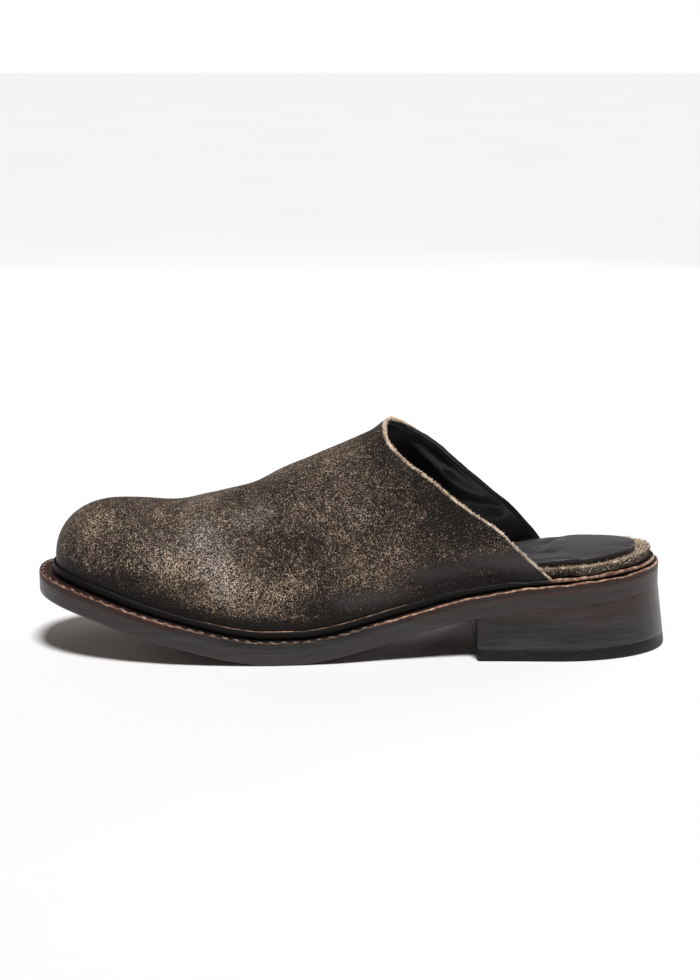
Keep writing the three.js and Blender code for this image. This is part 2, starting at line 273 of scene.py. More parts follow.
# Turning points into Blender objects
def mesh_piece(name, points, faces, material, sharp=50, values=None, replaces=()):
    """Makes one closed piece of points in millimetres, sets its values and rides it on the shoe."""
    used = np.unique(np.concatenate([np.ravel(block) for block in faces]))
    new_index = np.full(len(points), -1)
    new_index[used] = np.arange(len(used))
    listed = []
    for block in faces:
        for face in new_index[np.asarray(block)].tolist():
            trimmed = [v for i, v in enumerate(face) if v != face[i - 1]]
            if len(set(trimmed)) > 2:
                listed.append(trimmed)
    mesh = bpy.data.meshes.new(name)
    mesh.from_pydata((points[used] * MM).tolist(), [], listed)
    for label, numbers in (values or {}).items():
        attribute = mesh.attributes.new(label, "FLOAT", "POINT")
        attribute.data.foreach_set("value", np.ascontiguousarray(numbers[used], np.float32))
    bm = bmesh.new()
    bm.from_mesh(mesh)
    bmesh.ops.remove_doubles(bm, verts=bm.verts, dist=1e-7)
    bmesh.ops.recalc_face_normals(bm, faces=bm.faces)
    bm.to_mesh(mesh)
    bm.free()
    mesh.polygons.foreach_set("use_smooth", [True] * len(mesh.polygons))
    mesh.set_sharp_from_angle(angle=math.radians(sharp))
    mesh.materials.append(material)
    piece = bpy.data.objects.new(name, mesh)
    bpy.context.scene.collection.objects.link(piece)
    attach(piece, "root")
    if replaces:
        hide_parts(*replaces)
    return piece


def points_of(piece):
    return np.array([v.co for v in piece.data.vertices])


def move_points(piece, places):
    piece.data.vertices.foreach_set("co", places.ravel().astype(np.float32))
    piece.data.update()


def grid_faces(numbers):
    """Quads of a grid of vertex numbers."""
    corners = [numbers[:-1, :-1], numbers[:-1, 1:], numbers[1:, 1:], numbers[1:, :-1]]
    return np.stack(corners, axis=-1).reshape(-1, 4)


def band(low, high):
    """Quads between two closed lines of vertex numbers."""
    return np.stack([low, np.roll(low, -1), np.roll(high, -1), high], axis=1)


def loft(rings, closed=False):
    """Points and quads of rings of the same count; a closed loft joins its last ring to its first."""
    numbers = list(np.arange(len(rings) * len(rings[0])).reshape(len(rings), -1))
    if closed:
        numbers.append(numbers[0])
    return np.concatenate(rings), [band(low, high) for low, high in zip(numbers, numbers[1:])]


def cap(ring_number, count):
    """Closes a ring by strips from its outer to its inner side."""
    here = np.arange(count // 2)
    corners = [here, here + 1, (count - here - 1) % count, (count - here) % count]
    return ring_number * count + np.stack(corners, axis=1)


def capped_loft(rings):
    """A loft that is closed by a cap at both ends."""
    places, faces = loft(rings)
    count = len(rings[0])
    return places, faces + [cap(0, count), cap(len(rings) - 1, count)]


# Rings that run round the shoe: half of their points on the outer side, half on the inner
HALF_RING = 200
RING = 2 * HALF_RING


def ring_shares():
    """Each ring point's share of the shoe's length, and its side: 0 outer, 1 inner."""
    half = (1 - np.cos(np.pi * np.arange(HALF_RING + 1) / HALF_RING)) / 2
    share = np.concatenate([half, half[1:-1][::-1]])
    side = np.concatenate([np.zeros(HALF_RING + 1, int), np.ones(HALF_RING - 1, int)])
    return share, side


def ring(inset, height, wobble=0.0):
    """One line round the shoe at an inset from the sole's edge and a height above its underside."""
    share, side = ring_shares()
    start, end = inset(0.0), SOLE_LENGTH - inset(float(SOLE_LENGTH))
    s = start + (end - start) * share
    outer, inner = edges(s, inset)
    return point(s, np.where(side == 0, outer, inner), underside(s) + height(s) + wobble)


def flat(value):
    """A size that is the same all along the shoe."""
    return lambda s: np.full_like(np.asarray(s, float), value) if np.ndim(s) else float(value)


def over(size, by):
    """A size along the shoe with a fixed amount added."""
    return lambda s: size(s) + by


# The vamp's surface: hoops from the topline to the tip of the toe, each with a few columns
# at both ends that are tucked behind the welt
FORM_REAR = TOPLINE_REAR - 12
FAN_START = 0.7 * SOLE_LENGTH
HOOPS = 190
HALF_HOOP = 64
TUCK = 2
HOOP_COLUMNS = 2 * HALF_HOOP + 1 + 2 * TUCK


def form_point(side, t, bend):
    """A point of the last: t runs from the heel to the toe, bend from the welt to the crest."""
    tip = SOLE_LENGTH - upper_inset(float(SOLE_LENGTH))
    s = FORM_REAR + (tip - FORM_REAR) * np.sin(np.pi / 2 * t)
    foot = edges(s, upper_inset)[side]
    fan = np.maximum(0, s - FAN_START) / (tip - FAN_START)
    crest_at = s - TOE_DOME * fan**2
    crest = crest_shift(crest_at)
    low = underside(s) + upper_lip_top(s)
    high = underside(crest_at) + UPPER_LIP_BASE + crest_depth(crest_at)
    power = 2 / side_round(s)
    out = np.maximum(0, np.cos(bend)) ** power
    up = np.sin(bend) ** power
    swell = side_swell(s) * np.sin(2 * bend) * np.cos(bend) / np.hypot(s - crest_at, foot - crest)
    reach = out + swell
    return crest_at + (s - crest_at) * reach, crest + (foot - crest) * reach, low + (high - low) * up


# How far the topline's outer shoulder stands forward of its crest, by height
shoulder_forward = curve([78, 86, 95, 101, 105, 107.3, 108.2], [0, 0.3, 2.9, 4.2, 4.0, 2.4, 0])


def topline_start(side, bend, edge):
    """How far along the last the topline cuts each line of the surface, found by halving."""
    low, high = np.zeros_like(bend), np.full_like(bend, 0.6)
    for _ in range(40):
        middle = (low + high) / 2
        s, y, z = form_point(side, middle, bend)
        forward = shoulder_forward(z) if side == 0 else 0.0
        cut_away = z > topline_height(s + topline_twist(z) * y - edge - forward)
        low, high = np.where(cut_away, middle, low), np.where(cut_away, high, middle)
    return high


def tucked(column, share):
    """A column at the welt, lowered by a share of the way to the welt's ledge."""
    lower = column.copy()
    ledge = underside(column[:, 0]) + ledge_top(column[:, 0]) + GAP
    lower[:, 2] += (ledge - column[:, 2]) * share
    return lower


def vamp_grid():
    """Points of the vamp's outer face as hoops by columns, tucked behind the welt at both ends."""
    bend = np.pi / 2 * np.arange(HALF_HOOP + 1) / HALF_HOOP
    bends = np.broadcast_to(bend, (HOOPS + 1, HALF_HOOP + 1))
    t = np.arange(HOOPS + 1)[:, None] / HOOPS
    halves = []
    for side in (0, 1):
        edge = waves(bend * 60 + side * 40, [(23, 0.35, 0.4), (9.5, 0.16, 1.1), (5.2, 0.1, 2.0)])
        edge = edge * np.cos(bend) ** 0.5 if side == 0 else edge * 0.6
        start = topline_start(side, bend, edge)
        halves.append(np.stack(form_point(side, start + (1 - start) * t, bends), axis=-1))
    joined = np.concatenate([halves[0], halves[1][:, :-1][:, ::-1]], axis=1)
    outer_end, inner_end = joined[:, 0], joined[:, -1]
    left = np.stack([tucked(outer_end, 1.0), tucked(outer_end, 0.5)], axis=1)
    right = np.stack([tucked(inner_end, 0.5), tucked(inner_end, 1.0)], axis=1)
    return np.concatenate([left, joined, right], axis=1)


def hoop_index(base):
    """Vertex numbers of a grid whose last hoop is folded onto itself at the tip of the toe."""
    numbers = base + np.arange((HOOPS + 1) * HOOP_COLUMNS).reshape(HOOPS + 1, HOOP_COLUMNS)
    numbers[-1] = np.minimum(numbers[-1], numbers[-1][::-1])
    return numbers


def grid_normals(places, numbers):
    """Unit normals of a grid of points, from the quads that meet at each one."""
    listed = places.reshape(-1, 3)
    a, b, c, d = grid_faces(numbers).T
    face = np.cross(listed[c] - listed[a], listed[d] - listed[b])
    total = np.zeros_like(listed)
    for corner in (a, b, c, d):
        np.add.at(total, corner, face)
    total = total[numbers.ravel()].reshape(places.shape)
    total /= np.maximum(np.linalg.norm(total, axis=-1, keepdims=True), 1e-12)
    crest_z = total[places.shape[0] // 3, places.shape[1] // 2, 2]
    return total if crest_z > 0 else -total


def along_line(at, line):
    """Distance of points from a drawn line, and how far along it they lie (0 to 1)."""
    line = np.array(line, float)
    lengths = np.linalg.norm(np.diff(line, axis=0), axis=1)
    before = np.concatenate([[0], np.cumsum(lengths)])
    best = np.full(at.shape[:-1], 1e9)
    share = np.zeros(at.shape[:-1])
    for i, length in enumerate(lengths):
        way = (line[i + 1] - line[i]) / length
        t = (at - line[i]) @ way
        near = line[i] + np.clip(t, 0, length)[..., None] * way
        distance = np.linalg.norm(at - near, axis=-1)
        nearer = distance < best
        best = np.where(nearer, distance, best)
        share = np.where(nearer, (before[i] + t) / before[-1], share)
    return best, share


def pressed(at, line, wide, high, before, after):
    """Height of one soft crease along a line that tapers at both ends."""
    distance, share = along_line(at, line)
    taper = smooth(share, before, after) * smooth(1 - share, before, after)
    return high * np.exp(-((distance / wide) ** 2)) * taper


def relief(places, normals, creases):
    """Height that drawn creases add to a surface: (where, line, half width, height)."""
    s, y, z = places[..., 0], places[..., 1], places[..., 2]
    total = np.zeros(places.shape[:-1])
    views = {
        "outer": (np.stack([s, z], axis=-1), smooth(-normals[..., 1], 0.0, 0.45)),
        "inner": (np.stack([s, z], axis=-1), smooth(normals[..., 1], 0.0, 0.45)),
        "top": (np.stack([s, y], axis=-1), smooth(normals[..., 2], 0.1, 0.6)),
    }
    for where, line, wide, high in creases:
        at, weight = views[where]
        total += pressed(at, line, wide, high, -0.15, 0.25) * weight
    return total


# Soft dents and ridges that wear has left in the vamp: where, line, half width, height
VAMP_CREASES = [
    ("outer", [(229, 80), (232, 62), (236, 46)], 9, -1.1),
    ("outer", [(220, 74), (214, 58), (204, 36)], 8, 1.2),
    ("outer", [(203, 82), (194, 60), (187, 47), (180, 38)], 8, -1.7),
    ("outer", [(186, 86), (178, 68), (172, 54)], 10, 0.9),
    ("outer", [(206, 42), (196, 33), (186, 27)], 6, 0.7),
    ("outer", [(160, 80), (150, 62), (146, 48)], 12, 0.8),
    ("outer", [(128, 82), (118, 66), (104, 56)], 11, -0.9),
    ("outer", [(118, 50), (92, 51), (66, 48)], 8, 1.3),
    ("outer", [(128, 30), (100, 35), (68, 40)], 6, -2.2),
    ("outer", [(242, 36), (225, 28), (208, 23)], 6, -0.7),
    ("top", [(236, -20), (233, 2), (236, 22)], 13, -0.45),
    ("top", [(200, -24), (195, 0), (199, 26)], 12, -0.4),
    ("inner", [(230, 76), (234, 56), (238, 44)], 9, -1.0),
    ("inner", [(218, 72), (210, 52), (203, 36)], 8, 1.0),
    ("inner", [(204, 80), (196, 58), (186, 42)], 8, -1.5),
    ("inner", [(184, 84), (176, 62), (170, 48)], 11, 0.9),
    ("inner", [(140, 84), (128, 64), (112, 54)], 12, -0.9),
]

# Soft folds of the lining: they only bring it inwards
LINING_CREASES = [
    ("inner", [(104, 76), (92, 68), (78, 66)], 4.5, 1.4),
    ("inner", [(100, 58), (84, 54), (70, 54)], 4.0, 1.3),
    ("inner", [(92, 62), (80, 60), (70, 60)], 2.6, -0.5),
    ("inner", [(122, 96), (110, 84), (96, 70)], 3.0, 0.9),
    ("inner", [(120, 60), (112, 52), (100, 46)], 5.0, 1.0),
    ("inner", [(106, 70), (98, 60), (84, 57)], 2.2, 1.0),
    ("inner", [(98, 54), (84, 49), (74, 49)], 2.4, 0.9),
    ("outer", [(110, 66), (96, 58), (84, 48)], 5.0, 1.0),
    ("outer", [(130, 84), (116, 70), (106, 56)], 5.0, 0.8),
]


def above_welt(places):
    return places[..., 2] - underside(places[..., 0]) - upper_lip_top(places[..., 0])


class VampShape:
    """The vamp's outer face with its creases, and its distances from the topline and the welt."""

    def __init__(self, crease_depth):
        numbers = hoop_index(0)
        plain = vamp_grid()
        normals = grid_normals(plain, numbers)
        height = relief(plain, normals, VAMP_CREASES) * crease_depth
        height = height * smooth(above_welt(plain), -1.5, 4)
        self.outer = plain + normals * height[..., None]
        self.normals = grid_normals(self.outer, numbers)
        self.back = unit(self.outer[0] - self.outer[1])
        steps = np.linalg.norm(np.diff(self.outer, axis=0), axis=-1)
        self.rim = np.concatenate([np.zeros((1, HOOP_COLUMNS)), np.cumsum(steps, axis=0)])
        self.foot = above_welt(self.outer)
        # The edge is raw on the outer side and over the peak, and turned in on the inner side
        on_inner_side = np.arange(HOOP_COLUMNS) > TUCK + HALF_HOOP
        self.cut = np.where(on_inner_side, smooth(self.outer[0, :, 2], 96, 104), 1.0)

    def sheet(self, outside, inside, recess, folds=0.0, rings=5):
        """Points, faces and values of a closed sheet between two depths below the outer face."""
        grid = self.outer.shape[:-1]
        front_depth = np.broadcast_to(outside, grid)[..., None]
        rear_depth = np.broadcast_to(inside + folds, grid)[..., None]
        pull = (recess * smooth(-self.rim, -6, 0))[..., None] * self.back
        front = self.outer - self.normals * front_depth - pull
        rear = self.outer - self.normals * rear_depth - pull

        # The edge at the topline is a half-round of its own rows
        half = (rear_depth[0] - front_depth[0]) / 2
        middle = (front[0] + rear[0]) / 2
        rims = []
        for k in range(1, rings):
            angle = np.pi * k / rings
            outwards = self.normals[0] * half * np.cos(angle)
            rims.append(middle + outwards + self.back * half * np.sin(angle) * 0.8)

        count = front.shape[0] * front.shape[1]
        one, two = hoop_index(0), hoop_index(count)
        rim_rows = 2 * count + np.arange(len(rims) * HOOP_COLUMNS).reshape(-1, HOOP_COLUMNS)
        chain = [one[0], *rim_rows, two[0]]
        faces = [grid_faces(one), grid_faces(two)]
        for end in (0, -1):
            faces.append(np.stack([one[:-1, end], one[1:, end], two[1:, end], two[:-1, end]], axis=-1))
        faces += [grid_faces(np.stack(pair)) for pair in zip(chain, chain[1:])]
        faces += [np.array([[line[end] for line in chain]]) for end in (0, -1)]

        points = np.concatenate([front.reshape(-1, 3), rear.reshape(-1, 3), *rims])
        values = {
            "rim": np.concatenate([self.rim.ravel(), self.rim.ravel(), np.zeros(rim_rows.size)]),
            "foot": np.concatenate([self.foot.ravel(), self.foot.ravel(), np.tile(self.foot[0], len(rims))]),
            "cut": np.tile(self.cut, 2 * len(front) + len(rims)),
        }
        return in_frame(points), faces, values


@functools.lru_cache(maxsize=1)
def shape_of_vamp(crease_depth):
    """The vamp's surface, worked out once for the leather and the lining."""
    return VampShape(crease_depth)


# Nodes
def feed(tree, socket, value):
    """Links a wire to a socket, or sets the socket to a plain value."""
    if isinstance(value, Wire):
        tree.links.new(value.socket, socket)
    else:
        socket.default_value = value


def put(tree, kind, sockets=None, **settings):
    """Adds a node with its settings and feeds its inputs by name or number."""
    node = tree.nodes.new(kind)
    for name, value in settings.items():
        setattr(node, name, value)
    for name, value in (sockets or {}).items():
        feed(tree, node.inputs[name], value)
    return node


def wired(tree, kind, output, sockets=None, **settings):
    """One output of a new node."""
    return Wire(tree, put(tree, kind, sockets, **settings).outputs[output])


class Wire:
    """What a node puts out. A sum of wires and numbers adds the nodes that work it out."""

    def __init__(self, tree, socket):
        self.tree = tree
        self.socket = socket

    def math(self, operation, a, b=0.0, clamp=False):
        return wired(self.tree, "ShaderNodeMath", 0, {0: a, 1: b}, operation=operation, use_clamp=clamp)

    def __add__(self, other):
        return self.math("ADD", self, other)

    def __radd__(self, other):
        return self.math("ADD", other, self)

    def __sub__(self, other):
        return self.math("SUBTRACT", self, other)

    def __rsub__(self, other):
        return self.math("SUBTRACT", other, self)

    def __mul__(self, other):
        return self.math("MULTIPLY", self, other)

    def __truediv__(self, other):
        return self.math("DIVIDE", self, other)

    def __abs__(self):
        return self.math("ABSOLUTE", self)

    def larger(self, other):
        return self.math("MAXIMUM", self, other)

    def clamped(self):
        return self.math("ADD", self, 0.0, clamp=True)

    def spread(self, low, high, to_low=0.0, to_high=1.0):
        """Eases the range from low to high onto another range."""
        sockets = {"Value": self, "From Min": low, "From Max": high, "To Min": to_low, "To Max": to_high}
        return wired(self.tree, "ShaderNodeMapRange", "Result", sockets, interpolation_type="SMOOTHSTEP")

    def mix(self, first, second):
        """Mixes two colours, with this value as the second one's share."""
        sockets = {0: self, 6: first, 7: second}
        return wired(self.tree, "ShaderNodeMix", 2, sockets, data_type="RGBA", clamp_factor=True)

    def stretched(self, across, along, up):
        """A place scaled along each axis, so that a pattern gets longer or shorter there."""
        return wired(self.tree, "ShaderNodeMapping", "Vector", {"Vector": self, "Scale": (across, along, up)})

    def noise(self, scale, detail=2.0, rough=0.5, twist=0.0):
        sockets = {"Vector": self, "Scale": scale, "Detail": detail, "Roughness": rough, "Distortion": twist}
        return wired(self.tree, "ShaderNodeTexNoise", "Fac", sockets)

    def effect(self, name, **values):
        """What a shared effect puts out at this place, with its own values."""
        node = put(
            self.tree, "ShaderNodeGroup", {"Vector": self, **values}, node_tree=bpy.data.node_groups[name]
        )
        return {out.name: Wire(self.tree, out) for out in node.outputs}


# Effects that several finishes share
def new_effect(name, takes, gives):
    """A node group: its inputs as wires, and a function that feeds its outputs."""
    tree = bpy.data.node_groups.new(name, "ShaderNodeTree")
    tree.interface.new_socket("Vector", in_out="INPUT", socket_type="NodeSocketVector")
    for label, value in takes.items():
        kind = "NodeSocketFloat" if isinstance(value, float) else "NodeSocketVector"
        tree.interface.new_socket(label, in_out="INPUT", socket_type=kind).default_value = value
    for label in gives:
        tree.interface.new_socket(label, in_out="OUTPUT", socket_type="NodeSocketFloat")
    inputs = tree.nodes.new("NodeGroupInput").outputs
    outputs = tree.nodes.new("NodeGroupOutput").inputs

    def give(**results):
        for label, result in results.items():
            feed(tree, outputs[label], result)

    return [Wire(tree, inputs[label]) for label in ("Vector", *takes)], give


def soft_patch_effect():
    """A soft patch round a place on the shoe."""
    takes = {"Centre": (0.0, 0.0, 0.0), "Reach": (0.02, 0.02, 0.02)}
    (where, centre, reach), give = new_effect("soft_patch", takes, ["Mask"])
    away = wired(where.tree, "ShaderNodeVectorMath", 0, {0: where, 1: centre}, operation="SUBTRACT")
    shares = wired(where.tree, "ShaderNodeVectorMath", 0, {0: away, 1: reach}, operation="DIVIDE")
    distance = wired(where.tree, "ShaderNodeVectorMath", "Value", {0: shares}, operation="LENGTH")
    uneven = where.noise(120.0, 3.0, 0.6) * 0.5 - 0.25
    give(Mask=(distance + uneven).spread(1.05, 0.1))


def crackle_effect():
    """Short worm-like flecks where the finish has cracked open."""
    takes = {"Fineness": 900.0, "Cover": 0.5}
    (where, fineness, cover), give = new_effect("crackle", takes, ["Flecks", "Height"])
    curls = where.noise(fineness, 1.0, 0.5, 0.6)
    wide = 0.018 + cover * 0.05
    off_line = abs(curls - 0.5) / wide
    breaks = where.noise(fineness * 1.7, 1.0, 0.5)
    kept = (breaks - (0.62 - cover * 0.3)).spread(-0.02, 0.04)
    give(Flecks=off_line.spread(1.25, 0.55) * kept, Height=off_line.spread(2.0, 0.0))


def fine_grain_effect():
    """Fine pores and creases of smooth leather."""
    (where, fineness), give = new_effect("fine_grain", {"Fineness": 700.0}, ["Height"])
    cells = {"Vector": where, "Scale": fineness}
    pebbles = wired(where.tree, "ShaderNodeTexVoronoi", "Distance", cells).spread(0.05, 0.6)
    folds = where.noise(fineness * 0.35, 3.0, 0.6, 0.4)
    give(Height=pebbles * 0.5 + folds)


def brushed_streaks_effect():
    """Streaks that a brush leaves round a painted edge."""
    (where, fineness), give = new_effect("brushed_streaks", {"Fineness": 60.0}, ["Mask", "Height"])
    fine = where.stretched(1.0, 1.0, 30.0).noise(fineness, 4.0, 0.65, 0.1)
    broad = where.stretched(1.0, 1.0, 9.0).noise(22.0, 3.0, 0.6)
    give(Mask=(fine * 0.6 + broad * 0.4).spread(0.38, 0.66), Height=fine)


def edge_wear_effect():
    """Wear that breaks up along an edge."""
    takes = {"Edge": 0.0, "Amount": 0.5}
    (where, edge, amount), give = new_effect("edge_wear", takes, ["Mask"])
    broken = where.noise(260.0, 4.0, 0.65, 0.3)
    patchy = where.noise(45.0, 2.0, 0.5)
    uneven = broken * 0.7 + patchy * 0.5
    give(Mask=(edge + amount * 0.8 + uneven).spread(1.35, 1.75))


def raw_fibres_effect():
    """Loose fibres of raw leather."""
    (where, fineness), give = new_effect("raw_fibres", {"Fineness": 900.0}, ["Mask", "Height"])
    strands = where.stretched(1.0, 1.0, 0.35).noise(fineness, 4.0, 0.7, 1.2)
    clumps = where.noise(170.0, 3.0, 0.6, 0.5)
    both = strands * 0.7 + clumps * 0.3
    give(Mask=both.spread(0.38, 0.62), Height=both)


def worn_blotches_effect():
    """Brown blotches where the finish of an edge has worn thin."""
    (where,), give = new_effect("worn_blotches", {}, ["Mask"])
    give(Mask=where.stretched(1.0, 1.0, 3.0).noise(75.0, 4.0, 0.65, 0.3).spread(0.3, 0.62))


def build_effects():
    soft_patch_effect()
    crackle_effect()
    fine_grain_effect()
    brushed_streaks_effect()
    edge_wear_effect()
    raw_fibres_effect()
    worn_blotches_effect()


# Finishes
class Finish:
    """One material of the shoe, its shader and the place that it is looked up at."""

    def __init__(self, name):
        self.material = bpy.data.materials.new(name)
        self.material.use_nodes = True
        self.tree = self.material.node_tree
        self.shader = self.tree.nodes["Principled BSDF"]
        self.where = wired(self.tree, "ShaderNodeTexCoord", "Object")

    def carried(self, name):
        """A value that the mesh carries at each of its points."""
        return wired(self.tree, "ShaderNodeAttribute", "Fac", attribute_name=name)

    def grain(self, fineness):
        return self.where.effect("fine_grain", Fineness=fineness)["Height"]

    def shine(self, colour, roughness, **constants):
        """Feeds the shader; constants are its other sockets, with _ for a space."""
        sockets = {"Base_Color": colour, "Roughness": roughness, **constants}
        for name, value in sockets.items():
            feed(self.tree, self.shader.inputs[name.replace("_", " ")], value)

    def bump(self, height, depth, strength=1.0):
        """Raises the surface's fine relief by a depth in metres and gives back the material."""
        sockets = {"Height": height, "Distance": depth, "Strength": strength}
        feed(self.tree, self.shader.inputs["Normal"], wired(self.tree, "ShaderNodeBump", "Normal", sockets))
        return self.material


# Patches of the vamp: (station, across, height), (reach along, across, up), how strong
# Pale patches: the leather's own burnish on the ridges, with a painted highlight where the ridges catch the
# light
PALE_BURNISH_HIGHLIGHT_PATCHES = [
    ((218, -36, 62), (17, 20, 20), 0.9),
    ((211, -44, 48), (15, 22, 18), 0.72),
    ((205, -47, 36), (12, 20, 11), 0.7),
    ((196, -29, 70), (16, 19, 12), 1.0),
    ((236, -40, 50), (18, 20, 12), 0.3),
    ((222, 6, 66), (16, 30, 12), 0.3),
    ((142, -36, 72), (12, 18, 10), 0.4),
    ((212, 48, 54), (12, 16, 18), 0.7),
]
FLECKED_PATCHES = [
    ((204, -44, 40), (24, 25, 26), 0.8),
    ((180, -46, 34), (22, 22, 16), 0.9),
    ((232, -40, 44), (16, 26, 12), 0.9),
    ((262, -30, 56), (22, 26, 16), 0.5),
    ((126, -38, 56), (16, 22, 16), 0.9),
    ((148, -42, 44), (20, 22, 12), 0.6),
    ((165, 44, 50), (50, 25, 24), 0.8),
    ((100, 34, 60), (36, 22, 24), 0.6),
]
# Smooth dark leather low on the rear of the vamp, greyed as a painted sheen
CHARCOAL_SHEEN_PATCHES = [
    ((74, -34, 45), (36, 20, 11), 0.95),
    ((100, -36, 38), (34, 20, 11), 1.0),
    ((130, -40, 29), (38, 20, 9), 0.9),
    ((76, 34, 46), (40, 20, 12), 0.8),
]
SMOOTH_PATCHES = [
    ((100, -34, 66), (22, 20, 16), 0.45),
    ((84, -34, 57), (20, 20, 14), 0.4),
    ((120, -30, 84), (20, 22, 22), 0.3),
    ((250, -44, 52), (22, 20, 14), 0.25),
    ((172, -40, 62), (18, 20, 14), 0.45),
    ((262, -34, 36), (30, 30, 10), 0.7),
    ((264, -34, 52), (22, 22, 14), 0.35),
    ((158, -46, 26), (30, 20, 9), 0.6),
    ((182, -24, 80), (30, 30, 14), 0.25),
]
BLACK_PATCHES = [
    ((118, -38, 58), (28, 22, 17), 1.0),
    ((100, -36, 52), (22, 20, 10), 0.8),
    ((132, -34, 72), (20, 20, 12), 0.6),
    ((158, -46, 26), (30, 20, 9), 0.8),
    ((170, -40, 52), (14, 20, 12), 0.6),
]


def patches(where, spots):
    """The strongest of several soft patches at each place."""
    total = None
    for centre, reach, strength in spots:
        centre_m = tuple(float(v) * MM for v in point(*centre))
        reach_m = tuple(v * MM for v in reach)
        mask = where.effect("soft_patch", Centre=centre_m, Reach=reach_m)["Mask"] * strength
        total = mask if total is None else total.larger(mask)
    return total


def cracked_leather(colours):
    """Dark leather whose brushed finish has cracked into pale flecks; its ridges carry a painted highlight,
    its low rear a painted sheen, and its foot is darker, partly as painted shade.
    """
    finish = Finish("cracked_vamp_leather")
    where = finish.where
    pale = patches(where, PALE_BURNISH_HIGHLIGHT_PATCHES)
    flecked = patches(where, FLECKED_PATCHES)
    charcoal_sheen = patches(where, CHARCOAL_SHEEN_PATCHES)
    even = charcoal_sheen.larger(patches(where, SMOOTH_PATCHES))
    margin = finish.carried("foot").spread(9.0, 0.5)
    rim = finish.carried("rim")
    beside_rim = rim.spread(22.0, 5.0)
    black = beside_rim.larger(patches(where, BLACK_PATCHES))
    quiet = even.larger(beside_rim * 0.32).larger(margin * 0.95)
    cloud = where.noise(60.0, 4.0, 0.65).spread(0.32, 0.68)
    broad = where.noise(26.0, 3.0, 0.55).spread(0.34, 0.64)

    # Flecks, by how much of the leather they cover
    cover = flecked * 0.22 + 0.325
    cover = cover - black * 0.1 + cloud * 0.12 + broad * 0.12 + pale * 0.3 - quiet * 0.54
    flecks = where.effect("crackle", Fineness=1040.0, Cover=cover)
    small = where.effect("crackle", Fineness=1700.0, Cover=cover)["Flecks"]
    shown = where.noise(210.0, 2.0).spread(0.3, 0.7, 0.78, 1.0)
    shown = shown * broad.spread(0.0, 1.0, 0.72, 1.0) * quiet.spread(0.0, 1.0, 1.0, 0.45)

    # Colours of the ground and of the flecks on it
    ground = cloud.mix(colours.vamp_dark, colours.vamp_brown)
    ground = black.mix(ground, colours.vamp_dark)
    # Painted sheen: the smooth leather low on the rear turns grey
    ground = (charcoal_sheen * 0.9).mix(ground, colours.vamp_charcoal_sheen)
    # Darker towards the welt: partly the leather's own margin, partly painted shade low on the vamp
    ground = (margin * 0.85).mix(ground, colours.vamp_dark)
    # Burnish with a painted highlight: the ground on the ridges turns grey
    ground = (pale * 0.4).mix(ground, colours.vamp_ash_highlight)
    bits = where.noise(330.0, 2.0).spread(0.35, 0.65).mix(colours.vamp_tan, colours.vamp_buff)
    bits = (flecked * 0.35).mix(bits, colours.vamp_buff)
    # Chalky flecks on the ridges: burnish with a painted highlight
    bits = pale.mix(bits, colours.vamp_chalk_highlight)
    colour = (small * (shown * 0.1)).mix(ground, bits)
    colour = (flecks["Flecks"] * shown).mix(colour, bits)

    # The raw cut edge of the topline
    fray = rim / 1.3 + where.noise(500.0, 3.0, 0.6)
    left_over = where.noise(800.0, 2.0).spread(0.54, 0.62, 0.0, 0.35)
    raw = fray.spread(1.25, 0.65) * finish.carried("cut").larger(left_over)
    fibres = where.effect("raw_fibres", Fineness=1100.0)
    raw_colour = fibres["Mask"].mix(colours.raw_shadow, colours.raw_light)

    matt = where.noise(60.0, 3.0).spread(0.3, 0.7, 0.62, 0.76) - quiet * 0.26 - pale * 0.1 + raw * 0.3
    finish.shine(
        raw.mix(colour, raw_colour), matt.clamped(),
        Specular_IOR_Level=0.2, Sheen_Weight=0.03, Sheen_Roughness=0.5,
    )
    height = finish.grain(1100.0) * 0.4 + flecks["Height"] * 0.9 + fibres["Height"] * raw * 2.0
    return finish.bump(height, 0.00022, 0.8)


def black_leather(name, colours, gloss, ground, rubbed, seams=()):
    """Smooth black leather of the lining and the sock; seams are pressed lines beside its rim. On the sock
    the ground and cloud colours are a painted sheen of its top, and its sides stay black.
    """
    finish = Finish(name)
    where = finish.where
    cloud = where.noise(55.0, 4.0, 0.6).spread(0.3, 0.7)
    worn = where.stretched(1.0, 2.2, 1.0).noise(120.0, 4.0, 0.65, 0.4).spread(0.5, 0.75)
    colour = cloud.mix(ground, rubbed)
    colour = (worn * 0.25).mix(colour, colours.black_rubbed)
    # The sock's sides are black beneath a top whose grey is a painted sheen
    colour = finish.carried("side").mix(colour, colours.black)
    finish.shine(colour, cloud.spread(0.0, 1.0, gloss, gloss + 0.13))
    gathers = where.stretched(1.0, 1.6, 1.0).noise(75.0, 3.0, 0.5, 0.5)
    height = finish.grain(850.0) * 0.8 + gathers * 5.0
    for from_rim in seams:
        height = height + abs(finish.carried("rim") - from_rim).spread(0.0, 0.5, 0.0, 7.0)
    return finish.bump(height, 0.0001, 0.7)


def raw_leather(colours):
    """The raw, hairy flesh side that wraps the insole, with a painted shade on its lower side."""
    finish = Finish("raw_insole_leather")
    fibres = finish.where.effect("raw_fibres", Fineness=430.0)
    patchy = finish.where.noise(260.0, 3.0, 0.6).spread(0.46, 0.6) * fibres["Mask"]
    colour = fibres["Mask"].mix(colours.raw_shadow, colours.raw_tan)
    colour = (patchy * 0.7).mix(colour, colours.raw_light)
    # Painted shade on the lower side of the insole's edge and at its heel end
    colour = (finish.carried("deep_shade") * 0.88).mix(colour, colours.raw_deep_shade)
    finish.shine(colour, fibres["Mask"].spread(0.0, 1.0, 0.8, 0.95))
    return finish.bump(fibres["Height"], 0.0006, 0.8)


